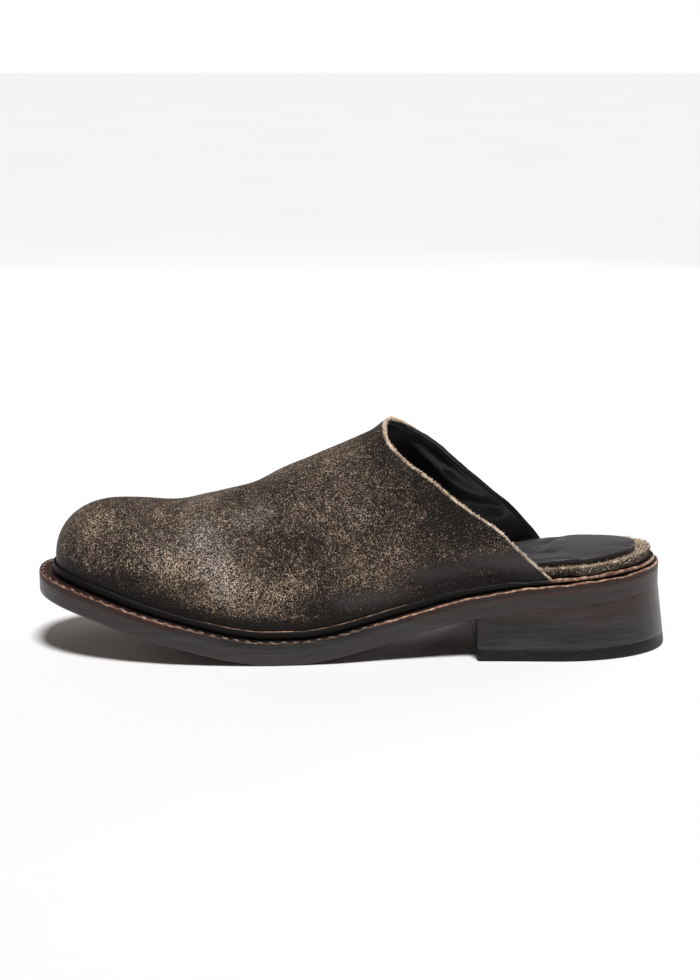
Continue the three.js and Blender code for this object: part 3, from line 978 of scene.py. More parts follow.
def nap_fibres(name, dark, light):
    """Single hairs with a painted shade: each is darker at its root."""
    finish = Finish(name)
    tuft = finish.where.noise(400.0, 2.0).spread(0.35, 0.65)
    colour = finish.carried("shade").mix(dark, light)
    finish.shine((tuft * 0.35).mix(colour, dark), tuft.spread(0.0, 1.0, 0.7, 0.9))
    return finish.bump(finish.where.noise(3000.0), 0.00005)


def welt_leather(colours):
    """Brown welt, rubbed to copper along its lips, with a painted shade in its slit."""
    finish = Finish("welt_leather")
    where = finish.where
    streaks = where.effect("brushed_streaks", Fineness=90.0)
    paint = streaks["Mask"].mix(colours.paint_dark, colours.paint_grey)
    copper = where.noise(420.0, 3.0).spread(0.4, 0.7).mix(colours.welt_copper, colours.welt_tan)
    worn = where.effect("edge_wear", Edge=finish.carried("edge"), Amount=0.35)["Mask"]
    russet = where.effect("worn_blotches")["Mask"].spread(0.0, 1.0, 0.5, 1.0) * finish.carried("brown")
    colour = streaks["Mask"].mix(colours.welt_dark, colours.welt_brown)
    colour = finish.carried("shaded").mix(colour, colours.welt_dark)
    colour = finish.carried("painted").mix(colour, paint)
    colour = russet.mix(colour, colours.welt_russet)
    colour = (worn * 0.85).mix(colour, copper)
    # Painted shade inside the slit between the lips and on the ledge behind them
    colour = finish.carried("slit").mix(colour, colours.welt_slit_shade)
    finish.shine(colour, streaks["Mask"].spread(0.0, 1.0, 0.48, 0.66), Specular_IOR_Level=0.22)
    return finish.bump(finish.grain(900.0) + streaks["Height"], 0.00018, 0.8)


def painted_edge(name, colours, red=1.0):
    """Charcoal edge paint with brushed streaks and reddish worn patches, plain leather underneath."""
    finish = Finish(name)
    where = finish.where
    streaks = where.effect("brushed_streaks", Fineness=70.0)
    patchy = where.stretched(1.0, 1.0, 3.5).noise(30.0, 4.0, 0.62, 0.3).spread(0.5, 0.72)
    brown = where.effect("worn_blotches")["Mask"].spread(0.0, 1.0, 0.45, 0.9) * finish.carried("edge")
    scuffed = where.noise(90.0, 5.0, 0.7).spread(0.35, 0.7).mix(colours.tread_dark, colours.tread_tan)
    colour = streaks["Mask"].mix(colours.paint_dark, colours.paint_grey)
    colour = (patchy * (0.3 * red)).mix(colour, colours.paint_red)
    colour = brown.mix(colour, colours.paint_brown)
    colour = finish.carried("under").mix(colour, scuffed)
    gloss = streaks["Mask"].spread(0.0, 1.0, 0.36, 0.5)
    finish.shine(colour, gloss, Specular_IOR_Level=0.3, Coat_Weight=0.15, Coat_Roughness=0.28)
    return finish.bump(finish.grain(500.0) * 0.4 + streaks["Height"], 0.0001, 0.7)


def lift_rubber(colours):
    """Dark rubber with fine scuffs."""
    finish = Finish("lift_rubber")
    streaks = finish.where.effect("brushed_streaks", Fineness=110.0)
    speck = finish.where.noise(1400.0, 2.0).spread(0.45, 0.7)
    colour = streaks["Mask"].mix(colours.rubber_dark, colours.rubber_grey)
    colour = (speck * 0.25).mix(colour, colours.paint_grey)
    finish.shine(colour, speck.spread(0.0, 1.0, 0.5, 0.66), Specular_IOR_Level=0.3)
    return finish.bump(speck + streaks["Height"], 0.00012, 0.7)


def waxed_thread(colours):
    """Twisted thread of the welt's stitches."""
    finish = Finish("welt_thread")
    twist = {"Vector": finish.where, "Scale": 420.0, "Distortion": 1.5}
    ply = wired(finish.tree, "ShaderNodeTexWave", "Fac", twist, bands_direction="DIAGONAL")
    dirt = finish.where.noise(260.0, 3.0).spread(0.4, 0.7)
    colour = ply.mix(colours.thread_dark, colours.thread_light)
    colour = (dirt * 0.6).mix(colour, colours.welt_brown)
    finish.shine(colour, dirt.spread(0.0, 1.0, 0.5, 0.7))
    return finish.bump(ply, 0.0002)


# Sizes and colours that a user may change
def colour_property(name, description, default):
    return bpy.props.FloatVectorProperty(
        name=name, description=description, subtype="COLOR", size=4, min=0, max=1, default=(*default, 1)
    )


def size_property(name, description, default, low, high):
    return bpy.props.FloatProperty(
        name=name, description=description, default=default, min=low, max=high,
        subtype="DISTANCE", unit="LENGTH",
    )


class MuleSizes(bpy.types.PropertyGroup):
    """Sizes of the details that the solids leave out."""

    leather: size_property("Leather", "Thickness of the vamp's leather", 0.0015, 0.0008, 0.0018)
    lining: size_property("Lining", "Thickness of the black lining", 0.0009, 0.0005, 0.0015)
    sock_crown: size_property("Sock crown", "How far the sock's padding swells", 0.0012, 0.0, 0.003)
    stitch_pitch: size_property(
        "Stitch pitch", "Distance from one welt stitch to the next", 0.0055, 0.003, 0.01
    )
    stitch_length: size_property("Stitch length", "Length of one welt stitch", 0.0041, 0.002, 0.008)
    thread: size_property("Thread", "Thickness of the welt's thread", 0.0009, 0.0004, 0.002)
    nap: size_property("Nap", "Length of the longest loose hairs", 0.0022, 0.0005, 0.004)
    crease_depth: bpy.props.FloatProperty(
        name="Crease depth", description="Scales the dents and ridges of the vamp", default=1.3, min=0, max=2
    )


class MuleColours(bpy.types.PropertyGroup):
    """Colours of the shoe's leathers, paints and thread."""

    vamp_dark: colour_property("Vamp dark", "Ground of the vamp's leather", (0.0075, 0.0054, 0.0046))
    vamp_brown: colour_property("Vamp brown", "Warmer clouds of the vamp's leather", (0.0175, 0.0118, 0.0089))
    # Painted sheen of the smooth leather low on the vamp
    vamp_charcoal_sheen: colour_property("Vamp charcoal", "Smooth dark margin of the vamp", (0.070, 0.062, 0.061))
    vamp_tan: colour_property("Vamp flecks", "Flecks where the finish has cracked", (0.50, 0.355, 0.245))
    vamp_buff: colour_property("Vamp pale flecks", "Palest flecks", (0.95, 0.71, 0.51))
    # Burnish on the ridges, partly a painted highlight
    vamp_chalk_highlight: colour_property("Vamp chalk", "Greyish burnish on the ridges", (0.88, 0.78, 0.69))
    raw_light: colour_property("Raw light", "Light fibres of cut leather", (0.96, 0.80, 0.62))
    raw_tan: colour_property("Raw tan", "Fibres of the insole's wrapping", (0.80, 0.57, 0.37))
    raw_shadow: colour_property("Raw shadow", "Gaps between fibres", (0.045, 0.029, 0.019))
    # Painted shade of the insole's lower side
    raw_deep_shade: colour_property("Raw deep", "Dark lower part of the insole's edge", (0.020, 0.0135, 0.0100))
    black: colour_property("Black", "Lining and sock", (0.004, 0.004, 0.0045))
    black_worn: colour_property("Black worn", "Clouds of the black leather", (0.009, 0.009, 0.010))
    black_rubbed: colour_property("Black rubbed", "Rubbed places of the black leather", (0.03, 0.03, 0.033))
    # Ground of the ridges, partly a painted highlight
    vamp_ash_highlight: colour_property("Vamp ash", "Ground of the burnished ridges", (0.052, 0.041, 0.034))
    # Painted sheen on the sock's top
    sock_sheen_grey: colour_property("Sock", "Rubbed black leather of the sock", (0.034, 0.033, 0.036))
    sock_sheen_pale: colour_property("Sock pale", "Paler clouds of the sock", (0.052, 0.050, 0.055))
    welt_dark: colour_property("Welt dark", "Shaded welt leather", (0.006, 0.0045, 0.004))
    welt_brown: colour_property("Welt brown", "Brown welt leather", (0.060, 0.027, 0.018))
    welt_russet: colour_property("Welt russet", "Red-brown sides of the lips", (0.050, 0.0205, 0.0145))
    welt_copper: colour_property("Welt copper", "Rubbed lips of the welt", (0.27, 0.13, 0.082))
    welt_tan: colour_property("Welt tan", "Palest worn places of the lips", (0.74, 0.49, 0.32))
    # Painted shade inside the slit
    welt_slit_shade: colour_property("Welt slit", "Inside of the slit", (0.006, 0.005, 0.005))
    paint_dark: colour_property("Edge paint dark", "Charcoal edge paint", (0.019, 0.0185, 0.019))
    paint_grey: colour_property("Edge paint grey", "Rubbed edge paint", (0.052, 0.050, 0.052))
    paint_red: colour_property("Edge paint red", "Reddish worn patches", (0.055, 0.026, 0.023))
    paint_brown: colour_property("Edge paint brown", "Brown worn top of the edge", (0.054, 0.0235, 0.0172))
    tread_dark: colour_property("Tread dark", "Scuffed underside", (0.016, 0.011, 0.008))
    tread_tan: colour_property("Tread tan", "Plain leather of the underside", (0.055, 0.034, 0.022))
    rubber_dark: colour_property("Rubber", "Top lift", (0.0042, 0.0032, 0.0042))
    rubber_grey: colour_property("Rubber rubbed", "Rubbed top lift", (0.0085, 0.007, 0.0085))
    thread_light: colour_property("Thread light", "Lit ply of the thread", (0.52, 0.40, 0.35))
    thread_dark: colour_property("Thread dark", "Shaded ply of the thread", (0.17, 0.11, 0.085))
    floor: colour_property("Floor", "Pale studio floor", (0.90, 0.90, 0.90))


# Hairs
def hair_piece(name, roots, ways, lengths, thick, shades, material):
    """Many short tapered hairs with three sides, as one piece."""
    count = len(roots)
    ways = unit(ways)
    side = unit(np.cross(ways, np.array([0.3, 0.2, 1.0])))
    other = np.cross(ways, side)
    rng = np.random.default_rng(len(name) + count)
    bend = (rng.random((count, 1)) - 0.5) * side + (rng.random((count, 1)) - 0.5) * other
    bend[:, 2] -= 0.12
    points, shade = [], []
    for share, wide in ((0.0, 1.0), (0.55, 0.75)):
        middle = roots + ways * (lengths * share)[:, None] + bend * (lengths * share**2 * 0.8)[:, None]
        for turn in range(3):
            angle = 2 * np.pi * turn / 3
            reach = (np.cos(angle) * side + np.sin(angle) * other) * (thick * wide / 2)[:, None]
            points.append(middle + reach)
            # Painted shade: the rings nearer the root are darker
            shade.append(shades * (0.45 + share))
    points.append(roots + ways * lengths[:, None] + bend * (lengths * 0.8)[:, None])
    shade.append(shades)
    points = np.stack(points, axis=1).reshape(-1, 3)
    shade = np.stack(shade, axis=1).reshape(-1)
    first = (np.arange(count) * 7)[:, None]
    quads = [first + np.array([[t, (t + 1) % 3, 3 + (t + 1) % 3, 3 + t]]) for t in range(3)]
    tips = [first + np.array([[3 + t, 3 + (t + 1) % 3, 6]]) for t in range(3)]
    ends = [first + np.array([[2, 1, 0]])]
    mesh_piece(name, in_frame(points), quads + tips + ends, material, 80, {"shade": shade})


# Vamp and lining
def topline_hairs(shape, leather, colours):
    """Loose hairs along the raw edge of the topline."""
    rng = np.random.default_rng(11)
    count = 2600
    at = TUCK + rng.random(count) * (HOOP_COLUMNS - 5)
    i = at.astype(int)
    share = (at - i)[:, None]
    edge = shape.outer[0, i] * (1 - share) + shape.outer[0, i + 1] * share
    normal, back = shape.normals[0, i], shape.back[i]
    depth = rng.random((count, 1)) * leather
    roots = edge - normal * depth + back * (0.25 * leather)
    outwards = rng.random((count, 1)) * 1.6 - 0.7
    sideways = rng.random((count, 1)) * 1.8 - 0.9
    ways = back * 0.8 + normal * outwards + np.cross(normal, back) * sideways
    kept = rng.random(count) < shape.cut[i] ** 2
    roots, ways, count = roots[kept], ways[kept], int(kept.sum())
    lengths = 0.5 + 1.0 * rng.random(count) ** 2.5
    thick = 0.18 + 0.14 * rng.random(count)
    shades = 0.5 + 0.5 * rng.random(count)
    material = nap_fibres("topline_hairs", colours.raw_tan, colours.raw_light)
    hair_piece("topline_nap", roots, ways, lengths, thick, shades, material)


def build_vamp(sizes, colours):
    shape = shape_of_vamp(sizes.crease_depth)
    leather = sizes.leather * METRE
    places, faces, values = shape.sheet(0.0, leather, 0.0)
    mesh_piece("vamp", places, faces, cracked_leather(colours), 60, values, ["upper"])
    topline_hairs(shape, leather, colours)


def build_lining(sizes, colours):
    shape = shape_of_vamp(sizes.crease_depth)
    leather, lining = sizes.leather * METRE, sizes.lining * METRE
    outside = leather + 0.02
    folds = relief(shape.outer, shape.normals, LINING_CREASES)
    folds = np.maximum(folds, -0.3) * smooth(shape.rim, 1.0, 9.0) * smooth(shape.foot, 4, 12)
    fullness = smooth(shape.rim, 0.2, 1.4) * (1 - smooth(shape.rim, 2.0, 7.0)) * 0.4
    proud = -0.25 - 0.75 * (1 - shape.cut)
    places, faces, values = shape.sheet(outside, outside + lining, proud, folds + fullness, 4)
    material = black_leather("lining_leather", colours, 0.24, colours.black, colours.black_worn, (1.9,))
    mesh_piece("vamp_lining", places, faces, material, 60, values)


# Insole
def insole_hairs(sizes, colours):
    """Hairs that stand off the raw wrapping where it shows behind the vamp."""
    rng = np.random.default_rng(23)
    count = 3000
    s = 2 + (TOPLINE_REAR + 26) * rng.random(count) ** 1.15
    side = rng.integers(0, 2, count)
    on_rear = rng.random(count) < 0.35
    level = rng.random(count)
    on_top = level > 0.45
    depth_in = np.where(on_top, rng.random(count) * 4.4, 0.0)
    start = insole_inset(0.0)
    s = np.where(on_rear, start + 14 * rng.random(count) ** 2, np.maximum(s, start + 0.02))

    def edge_at(station):
        outer, inner = edges(station, insole_inset)
        return np.where(side == 0, outer, inner)

    step = 0.3
    y = edge_at(s)
    tangent = unit(np.stack([np.full(count, step), edge_at(s + step) - y, np.zeros(count)], axis=1))
    outward = np.stack([tangent[:, 1], -tangent[:, 0], np.zeros(count)], axis=1)
    outward *= np.where(side == 0, 1, -1)[:, None]
    sunk = 0.05 + 0.9 * smooth(depth_in, 2.0, 4.6)
    z = underside(s) + insole_top(s) - np.where(on_top, sunk, (0.45 - level) / 0.45 * 2.8)
    roots = np.stack([s, y, z], axis=1) - outward * (0.1 + depth_in)[:, None]
    outwards = (0.25 + 0.5 * rng.random(count))[:, None]
    ways = outward * outwards + tangent * (rng.random(count) * 2 - 1)[:, None] * 0.9
    ways[:, 2] += np.where(on_top, 0.9, 0.7) * (0.4 + rng.random(count))
    lengths = (0.4 + 0.6 * rng.random(count) ** 3) * sizes.nap * METRE
    thick = 0.34 + 0.24 * rng.random(count)
    # Painted shade: hairs on the side are dark and those on the top pale, with some bright ones among the
    # side hairs
    shades = np.where(on_top, 0.65 + 0.35 * rng.random(count), 0.12 * rng.random(count))
    shades = np.where((level < 0.45) & (rng.random(count) < 0.42), 0.7, shades)
    material = nap_fibres("insole_hairs", colours.raw_shadow, colours.raw_light)
    hair_piece("insole_nap", roots, ways, lengths, thick, shades, material)


def build_insole(sizes, colours):
    rough = waves(np.arange(RING), [(37, 0.22, 0.3), (14, 0.12, 1.0), (6.3, 0.07, 0.2)])
    filler = flat(WELT_WIDTH + GAP)
    seat = over(ledge_top, GAP)

    # Each row: inset, height, share of the roughness, painted shade
    rows = [
        (filler, flat(WELT_BASE), 0, 1),
        (filler, seat, 0, 1),
        (over(insole_inset, 0.3), seat, 0, 1),
        (insole_inset, over(seat, 0.5), 0, 1),
        (insole_inset, over(insole_top, -1.9), 0, 1),
        (over(insole_inset, -0.1), over(insole_top, -1.1), 0.3, 1),
        (over(insole_inset, 0.15), over(insole_top, -0.4), 0.6, 0.7),
        (over(insole_inset, 0.7), over(insole_top, -0.05), 1, 0.1),
        (over(insole_inset, 1.8), insole_top, 0.8, 0),
        (over(insole_inset, 3.6), over(insole_top, -0.3), 0.3, 0),
        (over(insole_inset, 6.0), over(insole_top, -1.0), 0, 0.2),
    ]
    places, faces = capped_loft([ring(inset, height, rough * share) for inset, height, share, _ in rows])
    # The heel end gets more painted shade
    at_heel = 1 - smooth(station_of(places[:, 0]), 6, 22)
    deep_shade = np.clip(np.repeat([row[3] for row in rows], RING) + 0.35 * at_heel, 0, 1)
    material = raw_leather(colours)
    mesh_piece("insole_cover", places, faces, material, 70, {"deep_shade": deep_shade}, ["insole"])
    insole_hairs(sizes, colours)


# Soft wrinkles pressed into the sock: line as (station, across), half width, height
SOCK_WRINKLES = [
    ([(44, 24), (50, 15), (58, 8), (72, 9)], 1.5, -1.45),
    ([(50, 16), (55, 2), (63, -8)], 1.6, -1.35),
    ([(46, 15), (52, 4), (55, -4)], 2.4, 1.0),
    ([(68, 2), (60, -7), (50, -9), (44, -3)], 1.7, -1.25),
    ([(60, -16), (52, -14), (43, -10)], 2.0, -0.5),
    ([(72, -14), (62, -18), (52, -20)], 2.6, 0.4),
    ([(76, -2), (66, 3), (58, 14)], 2.4, -0.4),
]


def build_sock(sizes, colours):
    """A pad that is closed at its rim, swollen by cloth simulation and then subdivided."""
    rows, columns = 121, 33
    share = (1 - np.cos(np.pi * np.arange(rows) / (rows - 1))) / 2
    start, end = sock_inset(0.0), SOLE_LENGTH - sock_inset(float(SOLE_LENGTH))
    s = start + (end - start) * (0.0008 + 0.9984 * share)
    outer, inner = (line[:, None] for line in edges(s, sock_inset))
    across = np.sin(np.linspace(-np.pi / 2, np.pi / 2, columns))
    y = (outer + inner) / 2 + (inner - outer) / 2 * across
    stations = np.broadcast_to(s[:, None], y.shape)
    base = (underside(s) + insole_top(s) + GAP * 0.4)[:, None]
    edge_drop = 0.35 * (1 - np.sqrt(np.clip(1 - across**6, 0, 1)))
    top = point(stations, y, base + (SOCK + 0.5) - edge_drop).reshape(-1, 3)
    bottom = point(stations, y * 0.995, base - 0.9).reshape(-1, 3)

    # The rim bulges a little between the top and the bottom
    count = rows * columns
    numbers = np.arange(count).reshape(rows, columns)
    far_end, near_end = numbers[-1, 1:], numbers[0, 1:-1][::-1]
    around = np.concatenate([numbers[:, 0], far_end, numbers[:-1, -1][::-1], near_end])
    bulge = 2 * count + np.arange(len(around))
    middle = (top[around] + bottom[around]) / 2
    centre = point(stations, (outer + inner) / 2, base).reshape(-1, 3)
    push = middle - centre[around]
    push[:, 2] = 0
    push /= np.maximum(np.linalg.norm(push, axis=1, keepdims=True), 1e-6)
    places = np.concatenate([top, bottom, middle + push * 0.35])
    faces = [grid_faces(numbers), grid_faces(numbers + count)]
    faces += [band(around, bulge), band(bulge, around + count)]

    values = {
        # side: 1 where the sock stays black, 0 on its top, which carries a painted sheen
        "held": np.concatenate([np.zeros(count), np.ones(count), np.full(len(around), 0.8)]),
        "side": np.concatenate([np.zeros(count), np.ones(count + len(around))]),
    }
    material = black_leather("sock_leather", colours, 0.36, colours.sock_sheen_grey, colours.sock_sheen_pale)
    piece = mesh_piece("sock_pad", places, faces, material, 80, values, ["sock"])
    swell_pad(piece, sizes.sock_crown)
    press_wrinkles(piece)
    skin = piece.modifiers.new("smooth skin", "SUBSURF")
    skin.levels = skin.render_levels = 1


def swell_pad(piece, most):
    """Blows the pad up a little as cloth, held at its underside, and caps how far it may move."""
    scene = bpy.context.scene
    steps = 16
    rest = points_of(piece)
    held = np.zeros(len(rest), np.float32)
    piece.data.attributes["held"].data.foreach_get("value", held)
    pinned = piece.vertex_groups.new(name="held")
    for number, weight in enumerate(held):
        if weight > 0:
            pinned.add([number], float(weight), "REPLACE")
    cloth = piece.modifiers.new("swelling", "CLOTH")
    cloth.settings.quality = 6
    cloth.settings.mass = 0.25
    cloth.settings.vertex_group_mass = "held"
    cloth.settings.use_pressure = True
    cloth.settings.uniform_pressure_force = 4
    cloth.settings.tension_stiffness = cloth.settings.compression_stiffness = 18
    cloth.settings.bending_stiffness = 1.5
    cloth.settings.effector_weights.gravity = 0
    cloth.point_cache.frame_start = 1
    cloth.point_cache.frame_end = steps
    for step in range(1, steps + 1):
        scene.frame_set(step)
    swollen = piece.evaluated_get(bpy.context.evaluated_depsgraph_get())
    moved = points_of(swollen) - rest
    piece.modifiers.remove(cloth)
    scene.frame_set(1)
    far = np.linalg.norm(moved, axis=1, keepdims=True)
    capped = moved * (most * np.tanh(far / most) / np.maximum(far, 1e-9))
    capped[:, 2] = np.maximum(capped[:, 2], -0.2 * MM)
    move_points(piece, rest + capped)


def press_wrinkles(piece):
    """Presses the drawn wrinkles into the pad's top."""
    places = points_of(piece) * METRE
    s = station_of(places[:, 0])
    at = np.stack([s, places[:, 1] - SHIFT_Y], axis=-1)
    on_top = smooth(places[:, 2] - underside(s) - insole_top(s), 1.0, 2.0)
    for line, wide, high in SOCK_WRINKLES:
        places[:, 2] += pressed(at, line, wide, high, -0.1, 0.3) * on_top
    move_points(piece, places * MM)


# Welt
def build_welt(sizes, colours):
    """One split strip: its flat lower lip, the slit, and its upper lip turned up at the vamp."""
    share, side = ring_shares()
    place = share * SOLE_LENGTH
    way = np.where(side == 0, place, 2 * SOLE_LENGTH - place)
    rear = 1 - smooth(place, 70, 130)
    toe = smooth(place, 205, 235)
    waist = smooth(place, 84, 96) * (1 - smooth(place, 122, 140))
    behind = 1 - smooth(place, 50, 60)
    ragged = 0.25 + 0.75 * rear
    low_wave = waves(way, [(31, 0.3, 0.6), (13.5, 0.22, 2.1), (7.1, 0.13, 0.9)]) * ragged
    high_wave = waves(way, [(27, 0.28, 2.6), (11.8, 0.2, 0.3), (6.3, 0.12, 1.7)]) * ragged
    low_rubbed = 0.66 + 0.34 * np.maximum(rear, waist) + 0.08 * toe
    at_ball = 0.85 * smooth(place, 100, 135) - 0.7 * smooth(place, 205, 250)
    high_rubbed = np.maximum(1.25 * behind, at_ball)
    brown_side = np.maximum(np.maximum(toe, 0.8 * waist), 0.9 * (1 - smooth(place, 66, 90)))
    lit_toe = 1 - 0.6 * smooth(place, 240, 275)

    def lip_middle(s):
        return (lip_inset(s) + ledge_inset(s)) / 2 + 0.2

    def to_slit(s):
        return 0.4 + (slit_inset(s) - 0.4) * 0.42

    def half_lip(s):
        return UPPER_LIP_BASE + lip_rise(s) * 0.5

    # Each row of the lower lip: inset, height, share of the waviness, rubbed, least wear where brown,
    # painted shade of the slit, shade, russet, edge paint
    low = LOWER_LIP_TOP
    lower_rows = [
        (flat(WELT_WIDTH), flat(WELT_BASE), 0, 0, 0, 0, 0.9, 0, 1),
        (flat(0.02), flat(WELT_BASE - 0.05), 0, 0, 0.1, 0, 0.9, 0.45, 1),
        (flat(0.0), flat(WELT_BASE + 0.6), 0, 0, 0.2, 0, 0.9, 0.6, 1),
        (flat(-0.03), flat(low - 1.5), 0.1, 0.1, 0.35, 0, 0.9, 0.8, 1),
        (flat(0.0), flat(low - 0.75), 0.7, 0.5, 0.5, 0, 0.9, 0.95, 0.6),
        (flat(0.12), flat(low - 0.3), 1, 0.95, 0, 0, 0.9, 1, 0),
        (flat(0.42), flat(low - 0.03), 1, 1, 0, 0, 0.9, 1, 0),
        (flat(0.85), flat(low), 1, 0.75, 0, 0, 0.9, 1, 0),
        (flat(1.5), flat(low - 0.15), 0.7, 0.2, 0, 0, 0.6, 0.9, 0),
        (to_slit, flat(low - 0.3), 0.5, 0.1, 0, 0.05, 0.6, 0.5, 0),
        (over(lip_inset, -0.2), flat(low - 0.1), 0.3, 0, 0, 0.6, 0.6, 0.5, 0),
        (slit_inset, flat(low), 0, 0, 0, 1, 0.6, 0.5, 0),
    ]
    # Each row of the upper lip: inset, height, share of the waviness, rubbed, least wear at the heel,
    # painted shade of the slit, russet
    upper_rows = [
        (slit_inset, flat(UPPER_LIP_BASE), 0, 0, 0, 1, 0),
        (over(lip_inset, 0.35), flat(UPPER_LIP_BASE), 0, 0, 0, 0.9, 0),
        (over(lip_inset, 0.05), flat(UPPER_LIP_BASE + 0.3), 0.2, 0, 0.8, 0.6, 1),
        (over(lip_inset, 0.1), half_lip, 0.5, 0, 0.8, 0.3, 1),
        (over(lip_inset, 0.3), over(upper_lip_top, -0.5), 1, 0.1, 0.8, 0.1, 1),
        (over(lip_inset, 0.5), over(upper_lip_top, -0.15), 1, 0.75, 0.8, 0, 1),
        (lip_middle, upper_lip_top, 1, 1, 0.8, 0, 1),
        (over(ledge_inset, -0.15), over(upper_lip_top, -0.15), 0.8, 0.6, 0.8, 0, 1),
        (ledge_inset, over(upper_lip_top, -0.6), 0.2, 0.1, 0, 0.6, 1),
        (ledge_inset, ledge_top, 0, 0, 0, 1, 0),
        (flat(WELT_WIDTH), ledge_top, 0, 0, 0, 1, 0),
    ]
    rings = []
    values = {"edge": [], "slit": [], "shaded": [], "brown": [], "painted": []}

    def add_row(inset, height, wave, **row_values):
        rings.append(ring(inset, height, wave * 0.8))
        for name, listed in values.items():
            listed.append(np.broadcast_to(row_values[name], RING))

    for inset, height, wobble, rubbed, least, slit, shade, russet, paint in lower_rows:
        add_row(
            inset, height, low_wave * wobble, slit=slit, painted=paint, brown=brown_side * russet,
            edge=np.maximum(rubbed * low_rubbed, brown_side * least),
            shaded=(shade - 0.5 * brown_side) * lit_toe,
        )
    for inset, height, wobble, rubbed, least, slit, russet in upper_rows:
        add_row(
            inset, height, high_wave * wobble, slit=slit, painted=0, brown=behind * russet,
            edge=np.maximum(rubbed * high_rubbed, least * behind), shaded=1,
        )
    places, faces = loft(rings, closed=True)
    values = {name: np.concatenate(listed) for name, listed in values.items()}
    mesh_piece("split_welt", places, faces, welt_leather(colours), 75, values, ["welt"])
    welt_stitches(sizes, colours)


def welt_stitches(sizes, colours):
    """Stitches on the lower lip, from the waist round the toe to the other waist."""
    pitch, long, thick = sizes.stitch_pitch * METRE, sizes.stitch_length * METRE, sizes.thread * METRE
    line = ring(flat(1.75), flat(LOWER_LIP_TOP))
    first_station = np.where(line[:, 1] < 0, 127, 112)
    path = line[station_of(line[:, 0]) > first_station]
    steps = np.concatenate([[0], np.cumsum(np.linalg.norm(np.diff(path, axis=0), axis=1))])
    rng = np.random.default_rng(5)
    sides, rows = 8, 9
    share = np.linspace(-0.5, 0.5, rows)
    arch = np.cos(np.pi * share) ** 0.6
    taper = np.clip(1 - (2 * np.abs(share)) ** 3.5, 0.12, 1)
    angle = 2 * np.pi * np.arange(sides) / sides
    points, faces = [], []
    for number in range(int(steps[-1] / pitch)):
        slant = 1.0 + 0.5 * rng.random()
        centre = (number + 0.5) * pitch + 0.5 * (rng.random() - 0.5)
        reach = long * (0.85 + 0.25 * rng.random())
        girth = thick / 2 * (0.85 + 0.3 * rng.random()) * taper
        spots = np.stack([np.interp(centre + share * reach, steps, path[:, c]) for c in range(3)], axis=1)
        direction = unit(spots[-1] - spots[0])
        sideways = unit(np.cross(direction, [0, 0, 1]))
        upward = np.cross(sideways, direction)
        circle = np.cos(angle)[:, None] * sideways * 1.1 + np.sin(angle)[:, None] * upward * 0.8
        start = number * rows * sides
        for k in range(rows):
            middle = spots[k] + upward * (-0.6 + 0.5 * arch[k]) + sideways * slant * share[k]
            points.append(middle + circle * girth[k])
        numbers = start + np.arange(rows * sides).reshape(rows, sides)
        faces += [band(low, high) for low, high in zip(numbers, numbers[1:])]
        faces += [numbers[:1], numbers[-1:]]
    mesh_piece("welt_stitches", np.concatenate(points), faces, waxed_thread(colours), 80)


# Sole and heel
def layer_piece(name, rows, worn, material):
    """One layer of the sole: rows of inset, height, bare underside and brown wear."""
    rings = [ring(inset, flat(height)) for inset, height, _, _ in rows]
    places, faces = capped_loft(rings)
    values = {
        "under": np.repeat([float(row[2]) for row in rows], RING),
        "edge": np.concatenate([row[3] * worn for row in rows]),
    }
    node = name.split("_")[0]
    mesh_piece(name, places, faces, material, 70, values, [node])


def build_sole(sizes, colours):
    paint = painted_edge("sole_edge_paint", colours)

    def rounded(inset):
        """An inset that fades out where the heel carries on below."""
        return lambda s: inset * smooth(s, HEEL_LENGTH - 5, HEEL_LENGTH + 8)

    high = MIDSOLE_BASE - 0.01
    outsole_rows = [
        (flat(6.0), 0.0, 1, 0), (rounded(1.9), 0.0, 0.95, 0), (rounded(0.95), 0.1, 0.4, 0.1),
        (rounded(0.4), 0.42, 0, 0.2), (rounded(0.1), 0.95, 0, 0.3), (flat(0.0), 1.7, 0, 0.3),
        (flat(0.0), high, 0, 0.3), (flat(HIDDEN_INSET), high, 0, 0),
    ]
    layer_piece("outsole_layer", outsole_rows, np.ones(RING), paint)

    low, high = MIDSOLE_BASE, WELT_BASE - 0.06
    midsole_rows = [
        (flat(HIDDEN_INSET), low, 0, 0), (flat(0.05), low, 0, 0), (flat(0.0), low + 0.12, 0, 0.05),
        (flat(-0.02), (low + high) / 2, 0, 0.5), (flat(0.0), high, 0, 1.0),
        (flat(HIDDEN_INSET), high, 0, 1.0),
    ]
    place = ring_shares()[0] * SOLE_LENGTH
    worn = np.maximum(smooth(place, 225, 262), 1 - 0.7 * smooth(place, 60, 140))
    layer_piece("midsole_layer", midsole_rows, worn, paint)


